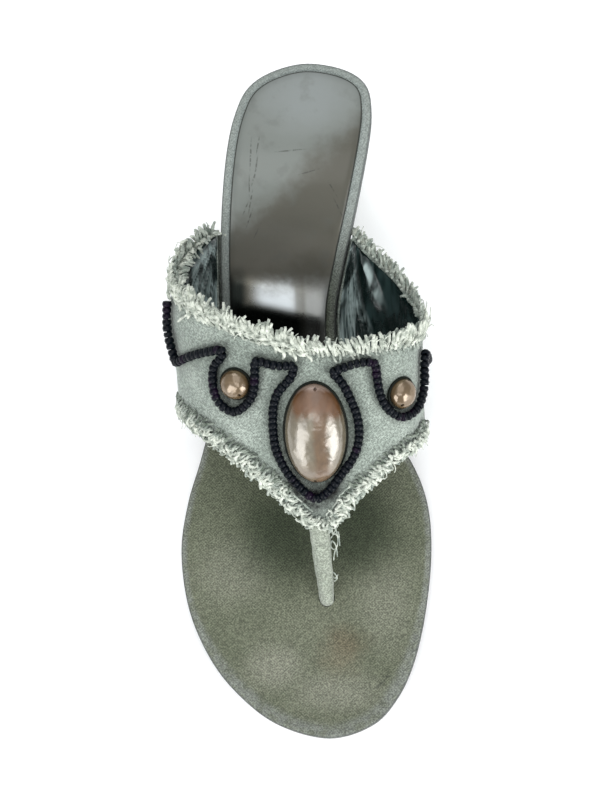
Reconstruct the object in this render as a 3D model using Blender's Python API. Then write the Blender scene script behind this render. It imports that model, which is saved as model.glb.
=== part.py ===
"""Toe post sandal for the right foot: a canvas band with a toe post on a covered mid heel.

Sizes are millimetres until a mesh is made, and a mesh is in metres. A place on the shoe is
x, towards the big-toe side, y, the length from the toe tip (0) to the back of the heel, and
z, the height over the floor. In the finished frame +Z is up, the toe points to -Y, +X is
the big-toe side, and the origin is at the middle of the whole shoe's box, on the floor.
"""
import math

import bpy
import bmesh
import numpy as np
from mathutils import Vector
from mathutils.bvhtree import BVHTree

MM = 0.001
GAP = 0.3                  # clearance between two pieces that touch on the real shoe
EDGE_CLEARANCE = 0.45      # the same round the board's curved edge, where facets differ

# ---- sole: driving sizes ------------------------------------------------------------------
LENGTH = 229.0             # toe tip to heel back, measured level
OUTSOLE = 2.5
INSOLE = 6.0               # canvas-wrapped board
SOCK = 0.9                 # leather sock on the heel and waist
TREAD_HEIGHT = OUTSOLE + GAP + INSOLE
TREAD_MIDDLE = 68.0        # the ball of the foot, where the sole lies flat
OUTSOLE_INSET = 1.2        # the outsole stands back from the wrapped edge
WRAP_RADIUS = 1.4          # rounding of the wrapped board's edge
SOCK_INSET = 3.2           # canvas rim left bare round the sock
SOCK_START = 122.0         # front edge of the sock, under the band
BREAST = 174.0             # front face of the heel where it meets the sole
TOE_X = 8.5
HEEL_X = 4.0

# The sole's outline seen from above, as its two sides.
OUTLINE = (
    # y      lateral  medial
    (4.5,    -9.0,    23.5),
    (14.0,   -22.3,   32.4),
    (27.0,   -33.3,   38.4),
    (45.0,   -41.6,   42.6),
    (66.0,   -44.8,   44.8),
    (84.0,   -42.6,   43.4),
    (100.0,  -38.0,   37.0),
    (116.0,  -33.8,   24.6),
    (132.0,  -30.6,   13.4),
    (148.0,  -28.9,   11.8),
    (165.0,  -28.2,   15.6),
    (182.0,  -26.8,   20.4),
    (200.0,  -24.3,   24.6),
    (212.0,  -21.3,   26.1),
    (221.0,  -16.6,   24.4),
    (226.5,  -8.0,    17.0),
)

# Slope of the board's top in side view: toe spring, level ball, arch and heel seat.
PITCH = (
    # y      degrees, rising to the back
    (0.0,    -20.0),
    (12.0,   -13.0),
    (30.0,   -5.0),
    (46.0,   0.0),
    (88.0,   0.0),
    (98.0,   4.0),
    (110.0,  12.0),
    (125.0,  22.0),
    (140.0,  31.0),
    (155.0,  35.0),
    (170.0,  35.0),
    (185.0,  29.0),
    (200.0,  18.0),
    (213.0,  11.0),
    (229.0,  8.0),
)

# ---- heel ---------------------------------------------------------------------------------
SEAT_INSET = 0.8           # the covered heel stands back from the board's edge
LIFT_HEIGHT = 4.2
LIFT_FRONT = 193.0         # breast side of the top lift
LIFT_LENGTH = 27.0
LIFT_WIDTH = 26.0
LIFT_X = 2.6
LIFT_BEVEL = 0.5
HEEL_FLARE = 2.1           # how late the heel widens on its way up to the seat
HEEL_FLOORS = 9

# ---- band: the surface of the shoemaker's last is the inner face of the upper -----------------
WALL = 2.0                 # canvas, interlining and leather lining together
MARGIN_WALL = 1.2          # skived lasting margin, turned in under the board
MARGIN = 9.0
LEDGE_SLACK = 1.2          # the board's ledge for the margin runs past its square-cut ends
ARCH_POWER = {-1: 2.3, 1: 2.9}   # squareness of the arch, little-toe side and big-toe side
SECTIONS = (
    # y      crest_x crest_z  lateral_x lateral_z  medial_x medial_z
    (66.0,   6.6,    25.5,    -43.0,    12.0,      43.0,    14.0),
    (80.0,   6.4,    35.5,    -43.0,    16.0,      43.0,    18.5),
    (95.0,   6.2,    46.5,    -42.5,    21.0,      42.0,    24.5),
    (110.0,  6.2,    57.0,    -41.0,    26.5,      40.5,    31.0),
    (125.0,  6.8,    66.5,    -41.5,    33.0,      40.5,    38.0),
    (140.0,  7.5,    73.5,    -44.0,    39.5,      41.0,    44.0),
    (155.0,  7.5,    79.0,    -42.5,    46.0,      38.5,    49.5),
    (168.0,  5.0,    83.0,    -37.0,    52.5,      30.0,    54.0),
    (180.0,  1.0,    86.0,    -30.5,    58.0,      22.0,    59.0),
)
# Free edges of the band. Around runs from -1, the sole's little-toe side, over 0, the
# instep, to +1, its big-toe side.
BAND_EDGES = (
    # around  front   collar
    (-1.00,   110.5,  174.5),
    (-0.88,   114.0,  168.5),
    (-0.74,   115.0,  160.0),
    (-0.55,   107.0,  148.5),
    (-0.36,   96.0,   139.0),
    (-0.18,   83.5,   132.0),
    (-0.05,   75.5,   128.0),
    (0.05,    74.5,   127.0),
    (0.20,    83.0,   128.0),
    (0.40,    94.5,   133.5),
    (0.60,    103.5,  144.0),
    (0.75,    107.0,  157.5),
    (0.88,    105.5,  166.0),
    (1.00,    103.0,  172.5),
)
BAND_ROWS = 12
HALF_COLUMNS = 20          # from the crest to the board's edge

# ---- toe post -------------------------------------------------------------------------------
# A rolled canvas tube from under the point of the band to its hole in the board.
POST = (
    # y      x      z      width  depth
    (83.0,   6.4,   36.0,  8.4,   2.4),
    (76.0,   6.5,   32.4,  8.4,   4.2),
    (69.0,   6.7,   27.6,  8.0,   5.4),
    (61.0,   7.0,   20.8,  7.2,   5.8),
    (54.0,   7.3,   13.8,  6.6,   6.0),
    (49.5,   7.5,   8.6,   6.2,   6.0),
    (48.4,   7.5,   4.0,   6.2,   6.0),
)
POST_FOOT = 2.5            # the hole runs past the end of the post
POST_STEPS = 20
POST_SIDES = 14

# ---- ornaments ------------------------------------------------------------------------------
CABOCHONS = (
    # name                       around  y      half_width half_length dome
    ("cabochon_oval",            0.000,  102.6, 10.4,      18.2,       6.0),
    ("cabochon_round_lateral",   -0.315, 118.3, 5.1,       5.1,        3.6),
    ("cabochon_round_medial",    0.370,  115.2, 4.8,       5.1,        3.6),
)
RIM_HEIGHT = 1.3           # upright edge under a cabochon's dome
DOME_RINGS = (1.0, 0.97, 0.88, 0.72, 0.5, 0.25)
DOME_SIDES = 28
BEAD_RADIUS = 1.5

# The string of beads runs over the band in strokes that meet at corners. Each stroke is a
# smooth curve through points given as (around, y).
BEAD_ROUTE = (
    ((-0.615, 146.5), (-0.61, 138.0), (-0.60, 128.0)),
    ((-0.60, 128.0), (-0.47, 129.0), (-0.345, 129.5)),
    ((-0.345, 129.5), (-0.35, 127.0), (-0.39, 124.5), (-0.405, 119.0), (-0.40, 114.5),
     (-0.37, 111.5), (-0.33, 110.0), (-0.28, 112.0), (-0.245, 115.0), (-0.23, 119.5),
     (-0.225, 125.5)),
    ((-0.225, 125.5), (-0.175, 124.0), (-0.125, 123.2), (-0.075, 123.6)),
    ((-0.075, 123.6), (-0.09, 119.8), (-0.145, 115.3), (-0.17, 110.0), (-0.18, 102.0),
     (-0.172, 96.5), (-0.13, 89.8), (-0.06, 84.5), (-0.01, 82.2)),
    ((-0.01, 82.2), (0.06, 85.0), (0.13, 90.0), (0.19, 95.5), (0.208, 101.0), (0.195, 107.0),
     (0.155, 113.0), (0.11, 118.3), (0.065, 121.2)),
    ((0.065, 121.2), (0.13, 123.0), (0.18, 124.2), (0.228, 124.2)),
    ((0.228, 124.2), (0.245, 119.5), (0.275, 114.0), (0.32, 110.2), (0.38, 108.0),
     (0.435, 109.2), (0.475, 113.0), (0.492, 119.0), (0.475, 124.5), (0.47, 129.5)),
    ((0.47, 129.5), (0.57, 129.0), (0.67, 129.5)),
    ((0.67, 129.5), (0.68, 139.0), (0.688, 147.5)),
)
TRIM_STEP = 2.5
TRIM_SIDES = 6

STATIONS = 38              # cross sections along a sole layer
COLUMNS = 7                # points across one


# ---- small tools ------------------------------------------------------------------------------
def clear_scene():
    for item in list(bpy.data.objects):
        bpy.data.objects.remove(item, do_unlink=True)


def material(name, colour, roughness, metallic=0.0):
    result = bpy.data.materials.new(name)
    result.use_nodes = True
    shader = result.node_tree.nodes["Principled BSDF"]
    shader.inputs["Base Color"].default_value = (*colour, 1.0)
    shader.inputs["Roughness"].default_value = roughness
    shader.inputs["Metallic"].default_value = metallic
    result.diffuse_color = (*colour, 1.0)
    return result


def smooth(table, at, column=1):
    """A smooth curve through one column of a table, read against its first column."""
    rows = np.array([[row[0], row[column]] for row in table], dtype=float)
    xs, ys = rows[:, 0], rows[:, 1]
    chord = np.diff(ys) / np.diff(xs)
    slope = np.concatenate([chord[:1], np.zeros(len(xs) - 2), chord[-1:]])
    same = chord[:-1] * chord[1:] > 0.0
    mean = 2.0 * chord[:-1] * chord[1:] / np.where(same, chord[:-1] + chord[1:], 1.0)
    slope[1:-1] = np.where(same, mean, 0.0)
    at = np.clip(np.asarray(at, dtype=float), xs[0], xs[-1])
    span = np.clip(np.searchsorted(xs, at, side="right") - 1, 0, len(xs) - 2)
    width = xs[span + 1] - xs[span]
    s = (at - xs[span]) / width
    return ((2 * s**3 - 3 * s**2 + 1) * ys[span] + (s**3 - 2 * s**2 + s) * width * slope[span]
            + (3 * s**2 - 2 * s**3) * ys[span + 1] + (s**3 - s**2) * width * slope[span + 1])


def spline(points, closed, per_span=16):
    """Dense points along a Catmull-Rom curve through the given ones."""
    points = np.array(points, dtype=float)
    if closed:
        knots = np.concatenate([points[-1:], points, points[:2]])
    else:
        knots = np.concatenate([2 * points[:1] - points[1:2], points,
                                2 * points[-1:] - points[-2:-1]])
    dense = []
    for i in range(1, len(knots) - 2):
        a, b, c, d = knots[i - 1:i + 3]
        for s in np.arange(per_span) / per_span:
            dense.append(0.5 * (2 * b + (c - a) * s + (2 * a - 5 * b + 4 * c - d) * s**2
                                + (3 * b - a - 3 * c + d) * s**3))
    return np.array(dense if closed else dense + [points[-1]])


def running_length(points):
    return np.concatenate([[0.0], np.cumsum(np.linalg.norm(np.diff(points, axis=0), axis=1))])


def evenly(points, count):
    """Evenly spaced points along a line of points, both ends kept."""
    run = running_length(points)
    at = np.linspace(0.0, run[-1], count)
    return np.stack([np.interp(at, run, points[:, k]) for k in range(points.shape[1])], axis=1)


def unit(vectors):
    return vectors / np.linalg.norm(vectors, axis=-1, keepdims=True)


def solid(name, points, faces, finish):
    """One closed mesh object from points in shoe coordinates."""
    mesh = bpy.data.meshes.new(name)
    mesh.from_pydata(((np.array(points) - (0.0, LENGTH / 2.0, 0.0)) * MM).tolist(), [], faces)
    work = bmesh.new()
    work.from_mesh(mesh)
    bmesh.ops.remove_doubles(work, verts=work.verts, dist=0.01 * MM)
    bmesh.ops.dissolve_degenerate(work, edges=work.edges, dist=0.001 * MM)
    bmesh.ops.recalc_face_normals(work, faces=work.faces)
    work.to_mesh(mesh)
    work.free()
    item = bpy.data.objects.new(name, mesh)
    bpy.context.scene.collection.objects.link(item)
    mesh.materials.append(finish)
    mesh.shade_smooth()
    mesh.set_sharp_from_angle(angle=math.radians(35.0))
    return item


def grid_faces(rows, columns, start=0):
    return [(start + r * columns + c, start + r * columns + c + 1,
             start + (r + 1) * columns + c + 1, start + (r + 1) * columns + c)
            for r in range(rows - 1) for c in range(columns - 1)]


def border(rows, columns):
    """Indices round the edge of a grid of points."""
    return ([c for c in range(columns)] + [r * columns + columns - 1 for r in range(1, rows)]
            + [(rows - 1) * columns + c for c in range(columns - 2, -1, -1)]
            + [r * columns for r in range(rows - 2, 0, -1)])


def stack(name, sheets, rows, columns, finish):
    """A solid between its first and last sheet of points; the others shape its edge only."""
    ring = border(rows, columns)
    points, faces, rings = [], [], []
    for sheet in sheets:
        start = len(points)
        if sheet is sheets[0] or sheet is sheets[-1]:
            points.extend(sheet)
            faces.extend(grid_faces(rows, columns, start))
            rings.append([start + i for i in ring])
        else:
            points.extend(sheet[ring])
            rings.append([start + i for i in range(len(ring))])
    for here, there in zip(rings, rings[1:]):
        faces.extend((here[i - 1], here[i], there[i], there[i - 1]) for i in range(len(ring)))
    return solid(name, points, faces, finish)


def tube(name, rings, finish):
    """A closed tube through rings of points, with flat ends."""
    count = len(rings[0])
    faces = [(r * count + k, r * count + (k + 1) % count,
              (r + 1) * count + (k + 1) % count, (r + 1) * count + k)
             for r in range(len(rings) - 1) for k in range(count)]
    last = (len(rings) - 1) * count
    faces += [tuple(range(count)), tuple(last + k for k in reversed(range(count)))]
    return solid(name, np.concatenate(rings), faces, finish)


def ellipse(middle, wide, deep, sides):
    turns = 2.0 * math.pi * np.arange(sides) / sides
    return middle + np.outer(np.cos(turns), wide) + np.outer(np.sin(turns), deep)


def boolean(item, cutter, operation):
    step = item.modifiers.new(operation.lower() + "_" + cutter.name, "BOOLEAN")
    step.operation = operation
    step.object = cutter
    step.solver = "EXACT"
    cutter.hide_render = True
    cutter.display_type = "WIRE"


# ---- the sole's form --------------------------------------------------------------------------
def half_outlines(inset):
    """The outline moved inwards by inset, as its lateral and its medial half, toe to heel."""
    loop = ([(TOE_X, 0.0)] + [(lateral, y) for y, lateral, _ in OUTLINE] + [(HEEL_X, LENGTH)]
            + [(medial, y) for y, _, medial in reversed(OUTLINE)])
    dense = spline(loop, closed=True)
    tangent = unit(np.roll(dense, -1, axis=0) - np.roll(dense, 1, axis=0))
    moved = dense + np.stack([tangent[:, 1], -tangent[:, 0]], axis=1) * inset
    toe, heel_back = int(np.argmin(moved[:, 1])), int(np.argmax(moved[:, 1]))
    moved = np.roll(moved, -toe, axis=0)
    heel_back = (heel_back - toe) % len(moved)
    return moved[:heel_back + 1], np.concatenate([moved[heel_back:], moved[:1]])[::-1]


def side_x(side, y):
    return np.interp(y, side[:, 1], side[:, 0])


def stretch(side, first, last, count):
    """Evenly spaced points on one half outline between two lengths."""
    inside = side[(side[:, 1] > first) & (side[:, 1] < last)]
    ends = [(side_x(side, y), np.clip(y, side[0, 1], side[-1, 1])) for y in (first, last)]
    return evenly(np.concatenate([ends[:1], inside, ends[1:]]), count)


def plan_grid(inset, start=0.0, stop=LENGTH, rows=STATIONS):
    """Points over the sole's plan between two lengths, rows from the toe to the heel."""
    lateral, medial = (stretch(side, start, stop, rows) for side in half_outlines(inset))
    share = np.linspace(0.0, 1.0, COLUMNS)[None, :, None]
    return (lateral[:, None, :] * (1.0 - share) + medial[:, None, :] * share).reshape(-1, 2)


PROFILE_Y = np.linspace(0.0, LENGTH, 459)
PROFILE_RISE = np.tan(np.radians(smooth(PITCH, PROFILE_Y)))
PROFILE_Z = np.concatenate([[0.0], np.cumsum((PROFILE_RISE[1:] + PROFILE_RISE[:-1]) / 2.0
                                             * np.diff(PROFILE_Y))])
PROFILE_Z += TREAD_HEIGHT - np.interp(TREAD_MIDDLE, PROFILE_Y, PROFILE_Z)


def level(y, depth=0.0):
    """Height of the board's top at y, or of the surface a depth under it."""
    lean = np.sqrt(1.0 + np.interp(y, PROFILE_Y, PROFILE_RISE) ** 2)
    return np.interp(y, PROFILE_Y, PROFILE_Z) - depth * lean


def sole_layer(name, layers, finish, start=0.0, stop=LENGTH, rows=STATIONS):
    """A piece of the sole; each of its layers, from the top down, is an inset and a depth."""
    sheets = []
    for inset, depth in layers:
        plan = plan_grid(inset, start, stop, rows)
        sheets.append(np.column_stack([plan, level(plan[:, 1], depth)]))
    return stack(name, sheets, rows, COLUMNS, finish)


def outsole(finish):
    top = INSOLE + GAP
    bottom = top + OUTSOLE
    return sole_layer("outsole", (
        (OUTSOLE_INSET + 0.2, top),
        (OUTSOLE_INSET, top + 0.4),
        (OUTSOLE_INSET, bottom - 0.6),
        (OUTSOLE_INSET + 0.5, bottom),
    ), finish, stop=BREAST - GAP, rows=30)


def insole(finish):
    rounding = [(WRAP_RADIUS * (1.0 - math.sin(turn)), WRAP_RADIUS * (1.0 - math.cos(turn)))
                for turn in np.radians((0.0, 35.0, 90.0))]
    under = [(inset, INSOLE - depth) for inset, depth in reversed(rounding)]
    return sole_layer("insole", rounding + under, finish)


def sock(finish):
    return sole_layer("sock", (
        (SOCK_INSET + 0.4, -GAP - SOCK),
        (SOCK_INSET, -GAP - SOCK + 0.4),
        (SOCK_INSET, -GAP),
    ), finish, start=SOCK_START, rows=20)


# ---- heel ---------------------------------------------------------------------------------
def heel_plan(seat, share):
    """The heel's plan at a share of its height, 0 at the top lift and 1 at the seat."""
    low, high = seat.min(axis=0), seat.max(axis=0)
    foot = (np.array([LIFT_X - LIFT_WIDTH / 2.0, LIFT_FRONT])
            + (seat - low) / (high - low) * np.array([LIFT_WIDTH, LIFT_LENGTH]))
    return foot + (seat - foot) * share**HEEL_FLARE


def heel_and_lift(cover, lift_finish):
    rows = 14
    seat = plan_grid(SEAT_INSET, start=BREAST, rows=rows)
    bottom = LIFT_HEIGHT + GAP
    rise = level(seat[:, 1], INSOLE + GAP) - bottom
    sheets = [np.column_stack([heel_plan(seat, share), bottom + rise * share])
              for share in np.linspace(0.0, 1.0, HEEL_FLOORS)]
    stack("heel", sheets, rows, COLUMNS, cover)

    foot = heel_plan(seat, 0.0)
    middle = foot.mean(axis=0)
    shrink = 1.0 - 2.0 * LIFT_BEVEL / LIFT_WIDTH
    floors = ((0.0, shrink), (LIFT_BEVEL, 1.0), (LIFT_HEIGHT, 1.0))
    sheets = [np.column_stack([middle + (foot - middle) * size, np.full(len(foot), height)])
              for height, size in floors]
    stack("top_lift", sheets, rows, COLUMNS, lift_finish)


# ---- upper ----------------------------------------------------------------------------------
CLEAR_OUTLINE = dict(zip((-1, 1), half_outlines(-EDGE_CLEARANCE)))


def half_section(y, side):
    """Half of the last's cross section as (x, z), from the crest down to the board's edge.

    Side is -1 for the little-toe side and +1 for the big-toe side.
    """
    crest = np.array([smooth(SECTIONS, y, 1), smooth(SECTIONS, y, 2)])
    column = 3 if side < 0 else 5
    widest = np.array([smooth(SECTIONS, y, column), smooth(SECTIONS, y, column + 1)])
    turn = np.linspace(0.0, math.pi / 2.0, 40)
    power = 2.0 / ARCH_POWER[side]
    arch = np.column_stack([
        crest[0] + (widest[0] - crest[0]) * np.sin(turn) ** power,
        widest[1] + (crest[1] - widest[1]) * np.cos(turn) ** power])
    edge = np.array([side_x(CLEAR_OUTLINE[side], y), level(y, 0.6)])
    drop = np.linspace(0.0, 1.0, 16)[1:]
    flank = np.column_stack([widest[0] + (edge[0] - widest[0]) * drop**2,
                             widest[1] + (edge[1] - widest[1]) * drop])
    return np.concatenate([arch, flank])


def last_point(y, around):
    """Point of the last's surface at a length and a place around it."""
    curve = half_section(y, -1 if around < 0 else 1)
    run = running_length(curve)
    at = abs(around) * run[-1]
    return np.array([np.interp(at, run, curve[:, 0]), y, np.interp(at, run, curve[:, 1])])


def band_point(y, around, lift=0.0):
    """Point on the band's outer face, or a lift above it, and the face's normal there."""
    step, nudge = 0.6, 0.004
    lengthways = last_point(y + step, around) - last_point(y - step, around)
    across = last_point(y, around + nudge) - last_point(y, around - nudge)
    normal = unit(np.cross(across, lengthways))
    return last_point(y, around) + normal * (WALL + lift), normal


def margin_points(y, side):
    """Lasting margin: down the wrapped edge, round its corner and in under the board."""
    edge = side_x(CLEAR_OUTLINE[side], y)
    roof = level(y, INSOLE - MARGIN_WALL)
    corner = 0.5
    return [np.array([edge, y, roof + corner]),
            np.array([edge - side * corner * 0.3, y, roof + corner * 0.3]),
            np.array([edge - side * corner, y, roof]),
            np.array([edge - side * MARGIN * 0.5, y, roof]),
            np.array([edge - side * MARGIN, y, roof])]


def band_sheets():
    """Points of the band's inner and outer face, rows from its front edge to the collar."""
    inner = []
    for share in np.linspace(0.0, 1.0, BAND_ROWS + 1):
        line = []
        for around in np.linspace(-1.0, 1.0, 2 * HALF_COLUMNS + 1):
            front, collar = smooth(BAND_EDGES, around, 1), smooth(BAND_EDGES, around, 2)
            y = front + (collar - front) * share
            line.append(last_point(y, around))
            if abs(around) == 1.0:
                line.extend(margin_points(y, int(around)))
            if around == -1.0:
                line.reverse()
        inner.append(line)
    inner = np.array(inner)
    wall = np.full(inner.shape[1], WALL)
    turned_in = len(margin_points(LENGTH / 2.0, 1)) - 2
    wall[:turned_in] = MARGIN_WALL
    wall[-turned_in:] = MARGIN_WALL
    normal = unit(np.cross(np.gradient(inner, axis=1), np.gradient(inner, axis=0)))
    return inner, inner + normal * wall[None, :, None]


def band(finish):
    inner, outer = band_sheets()
    rows, columns = inner.shape[:2]
    item = stack("upper", [inner.reshape(-1, 3), outer.reshape(-1, 3)], rows, columns, finish)
    skin = BVHTree.FromPolygons(outer.reshape(-1, 3).tolist(), grid_faces(rows, columns))
    return item, skin


def post(name, grow, finish):
    """The toe post, or with grow the hole that it passes through."""
    table = [(place, *row) for place, row in enumerate(POST)]
    at = np.linspace(0.0, len(POST) - 1.0, POST_STEPS)
    y, x, z, width, depth = (smooth(table, at, column) for column in range(1, 6))
    path = np.column_stack([x, y, z])
    forward = unit(np.gradient(path, axis=0))
    if grow:
        path[-1] += forward[-1] * POST_FOOT
    wide = np.array([1.0, 0.0, 0.0])
    deep = unit(np.cross(forward, wide))
    rings = [ellipse(path[i], wide * (width[i] / 2.0 + grow), deep[i] * (depth[i] / 2.0 + grow),
                     POST_SIDES) for i in range(len(path))]
    return tube(name, rings, finish)


def margin_ledges(finish):
    """Cutters for the ledges under the board that take the lasting margin."""
    ledges = []
    for side, name in ((-1, "ledge_lateral"), (1, "ledge_medial")):
        front = smooth(BAND_EDGES, side, 1) - LEDGE_SLACK
        collar = smooth(BAND_EDGES, side, 2) + LEDGE_SLACK
        rings = []
        for y in np.linspace(front, collar, 24):
            edge = side_x(CLEAR_OUTLINE[side], y)
            inner, outer = edge - side * (MARGIN + GAP), edge + side * WALL
            roof, below = level(y, INSOLE - MARGIN_WALL - GAP), level(y, INSOLE + 1.0)
            rings.append([(outer, y, below), (outer, y, roof), (inner, y, roof), (inner, y, below)])
        ledges.append(tube(name, rings, finish))
    return ledges


# ---- ornaments ------------------------------------------------------------------------------
def cabochon(name, around, y, half_width, half_length, dome, skin, finish):
    """A dome with an upright rim; its back follows the band's face at the gap."""
    seat, up = (Vector(v) for v in band_point(y, around))
    across = Vector((1.0, 0.0, 0.0))
    across = (across - up * across.dot(up)).normalized()
    lengthways = up.cross(across)
    turns = [2.0 * math.pi * k / DOME_SIDES for k in range(DOME_SIDES)]

    def spot(share, turn, rise):
        return (seat + across * (half_width * share * math.cos(turn))
                + lengthways * (half_length * share * math.sin(turn)) + up * rise)

    def back(share, turn):
        above = spot(share, turn, half_length)
        return skin.ray_cast(above, -up)[0] + up * GAP

    rings = [[back(share, turn) for turn in turns] for share in (0.5, 1.0)]
    rings += [[spot(share, turn, RIM_HEIGHT + dome * (1.0 - share**2.2) ** 0.55)
               for turn in turns] for share in DOME_RINGS]
    points = [back(0.0, 0.0)] + [p for ring in rings for p in ring]
    points.append(spot(0.0, 0.0, RIM_HEIGHT + dome))
    last = 1 + (len(rings) - 1) * DOME_SIDES
    faces = []
    for k in range(DOME_SIDES):
        n = (k + 1) % DOME_SIDES
        faces.append((0, 1 + n, 1 + k))
        faces += [(1 + r * DOME_SIDES + k, 1 + r * DOME_SIDES + n, 1 + (r + 1) * DOME_SIDES + n,
                   1 + (r + 1) * DOME_SIDES + k) for r in range(len(rings) - 1)]
        faces.append((last + k, last + n, len(points) - 1))
    return solid(name, points, faces, finish)


def bead_trim(finish):
    """The string of beads as one plain tube along its route over the band."""
    places = []
    for stroke in BEAD_ROUTE:
        places.extend(spline(stroke, closed=False, per_span=10)[0 if not places else 1:])
    seats = [band_point(y, around, BEAD_RADIUS + GAP) for around, y in places]
    line = np.array([np.concatenate(seat) for seat in seats])
    count = int(running_length(line[:, :3])[-1] / TRIM_STEP)
    line = evenly(line, count)
    path, up = line[:, :3], unit(line[:, 3:])
    path[1:-1] = (path[:-2] + 2.0 * path[1:-1] + path[2:]) / 4.0
    side = unit(np.cross(np.gradient(path, axis=0), up))
    up = unit(np.cross(side, np.gradient(path, axis=0)))
    rings = [ellipse(path[i], side[i] * BEAD_RADIUS, up[i] * BEAD_RADIUS, TRIM_SIDES)
             for i in range(count)]
    return tube("bead_trim", rings, finish)


def centre_on_box(items):
    """Move everything so that the origin is at the middle of the pieces' box."""
    corners = np.array([vertex.co for item in items if not item.hide_render
                        for vertex in item.data.vertices])
    middle = (corners.min(axis=0) + corners.max(axis=0)) / 2.0
    for item in items:
        item.location = (-middle[0], -middle[1], 0.0)


def main():
    clear_scene()
    canvas = material("canvas", (0.36, 0.42, 0.36), 0.9)
    board_canvas = material("board_canvas", (0.20, 0.21, 0.15), 0.9)
    leather = material("sock_leather", (0.12, 0.11, 0.10), 0.3)
    heel_canvas = material("heel_canvas", (0.33, 0.38, 0.33), 0.9)
    rubber = material("rubber", (0.05, 0.05, 0.045), 0.6)
    pearl = material("copper_pearl", (0.45, 0.28, 0.20), 0.2, 0.3)
    glass_beads = material("dark_beads", (0.02, 0.015, 0.03), 0.2)
    cutter = material("cutter", (1.0, 0.0, 0.0), 0.5)

    outsole(rubber)
    board = insole(board_canvas)
    sock(leather)
    heel_and_lift(heel_canvas, rubber)
    upper, skin = band(canvas)
    for ledge in margin_ledges(cutter):
        boolean(board, ledge, "DIFFERENCE")
    boolean(board, post("post_hole", GAP, cutter), "DIFFERENCE")
    boolean(upper, post("toe_post", 0.0, canvas), "UNION")
    for name, around, y, half_width, half_length, dome in CABOCHONS:
        cabochon(name, around, y, half_width, half_length, dome, skin, pearl)
    bead_trim(glass_beads)
    centre_on_box(list(bpy.context.scene.objects))


main()
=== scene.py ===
"""Looks of a heeled toe post sandal: canvas, leather, stones, beads and frayed edges.

Sizes are millimetres until a mesh is made. A place on the shoe is x, towards the big-toe
side, y, the length from the toe tip (0) to the back of the heel, and z, the height over the
floor. In the frame +Z is up and the toe points to -Y.
"""
import math
import random

import bpy
import numpy as np
from mathutils import Matrix, Vector


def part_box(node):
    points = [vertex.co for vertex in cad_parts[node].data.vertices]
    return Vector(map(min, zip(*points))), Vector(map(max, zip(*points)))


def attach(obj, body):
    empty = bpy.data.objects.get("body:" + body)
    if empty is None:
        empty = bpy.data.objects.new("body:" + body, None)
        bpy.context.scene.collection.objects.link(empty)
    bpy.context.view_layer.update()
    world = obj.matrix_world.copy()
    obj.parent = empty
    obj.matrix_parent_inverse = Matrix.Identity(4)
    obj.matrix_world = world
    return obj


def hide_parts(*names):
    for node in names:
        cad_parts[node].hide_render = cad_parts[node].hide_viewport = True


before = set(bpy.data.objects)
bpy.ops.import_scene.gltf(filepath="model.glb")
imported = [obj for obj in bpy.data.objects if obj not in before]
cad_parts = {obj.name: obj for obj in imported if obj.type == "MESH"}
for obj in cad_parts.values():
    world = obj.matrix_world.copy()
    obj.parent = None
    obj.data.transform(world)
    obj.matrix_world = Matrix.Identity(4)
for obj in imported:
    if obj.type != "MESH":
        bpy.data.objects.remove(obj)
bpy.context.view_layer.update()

MM = 0.001
GAP = 0.3

# ---- sole: the same driving sizes as the construction ----
LENGTH = 229.0
OUTSOLE = 2.5
INSOLE = 6.0
SOCK = 0.9
TREAD_HEIGHT = OUTSOLE + GAP + INSOLE
TREAD_MIDDLE = 68.0
OUTSOLE_INSET = 1.2
WRAP_RADIUS = 1.4
SOCK_INSET = 3.2
SOCK_START = 122.0
BREAST = 174.0
TOE_X = 8.5
HEEL_X = 4.0
EDGE_CLEARANCE = 0.45
RIM_REACH = 8.0            # how far in from the outline the marks of an edge are drawn: wear, and painted shade at the sock's seam

OUTLINE = (                # y, lateral x, medial x
    (4.5, -9.0, 23.5), (14.0, -22.3, 32.4), (27.0, -33.3, 38.4), (45.0, -41.6, 42.6),
    (66.0, -44.8, 44.8), (84.0, -42.6, 43.4), (100.0, -38.0, 37.0), (116.0, -33.8, 24.6),
    (132.0, -30.6, 13.4), (148.0, -28.9, 11.8), (165.0, -28.2, 15.6), (182.0, -26.8, 20.4),
    (200.0, -24.3, 24.6), (212.0, -21.3, 26.1), (221.0, -16.6, 24.4), (226.5, -8.0, 17.0),
)
PITCH = (                  # y, degrees rising to the back
    (0.0, -20.0), (12.0, -13.0), (30.0, -5.0), (46.0, 0.0), (88.0, 0.0),
    (98.0, 4.0), (110.0, 12.0), (125.0, 22.0), (140.0, 31.0), (155.0, 35.0),
    (170.0, 35.0), (185.0, 29.0), (200.0, 18.0), (213.0, 11.0), (229.0, 8.0),
)

# ---- heel ----
SEAT_INSET = 0.8
LIFT_HEIGHT = 4.2
LIFT_FRONT = 193.0
LIFT_LENGTH = 27.0
LIFT_WIDTH = 26.0
LIFT_X = 2.6
HEEL_FLARE = 2.1

# ---- band ----
WALL = 2.0
MARGIN_WALL = 1.2
MARGIN = 9.0
CANVAS = 1.0               # the canvas layer of the wall; the lining is the rest
LINING = 0.8
ARCH_POWER = {-1: 2.3, 1: 2.9}
SECTIONS = (               # y, crest x and z, lateral x and z, medial x and z
    (66.0, 6.6, 25.5, -43.0, 12.0, 43.0, 14.0), (80.0, 6.4, 35.5, -43.0, 16.0, 43.0, 18.5),
    (95.0, 6.2, 46.5, -42.5, 21.0, 42.0, 24.5), (110.0, 6.2, 57.0, -41.0, 26.5, 40.5, 31.0),
    (125.0, 6.8, 66.5, -41.5, 33.0, 40.5, 38.0), (140.0, 7.5, 73.5, -44.0, 39.5, 41.0, 44.0),
    (155.0, 7.5, 79.0, -42.5, 46.0, 38.5, 49.5), (168.0, 5.0, 83.0, -37.0, 52.5, 30.0, 54.0),
    (180.0, 1.0, 86.0, -30.5, 58.0, 22.0, 59.0),
)
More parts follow.
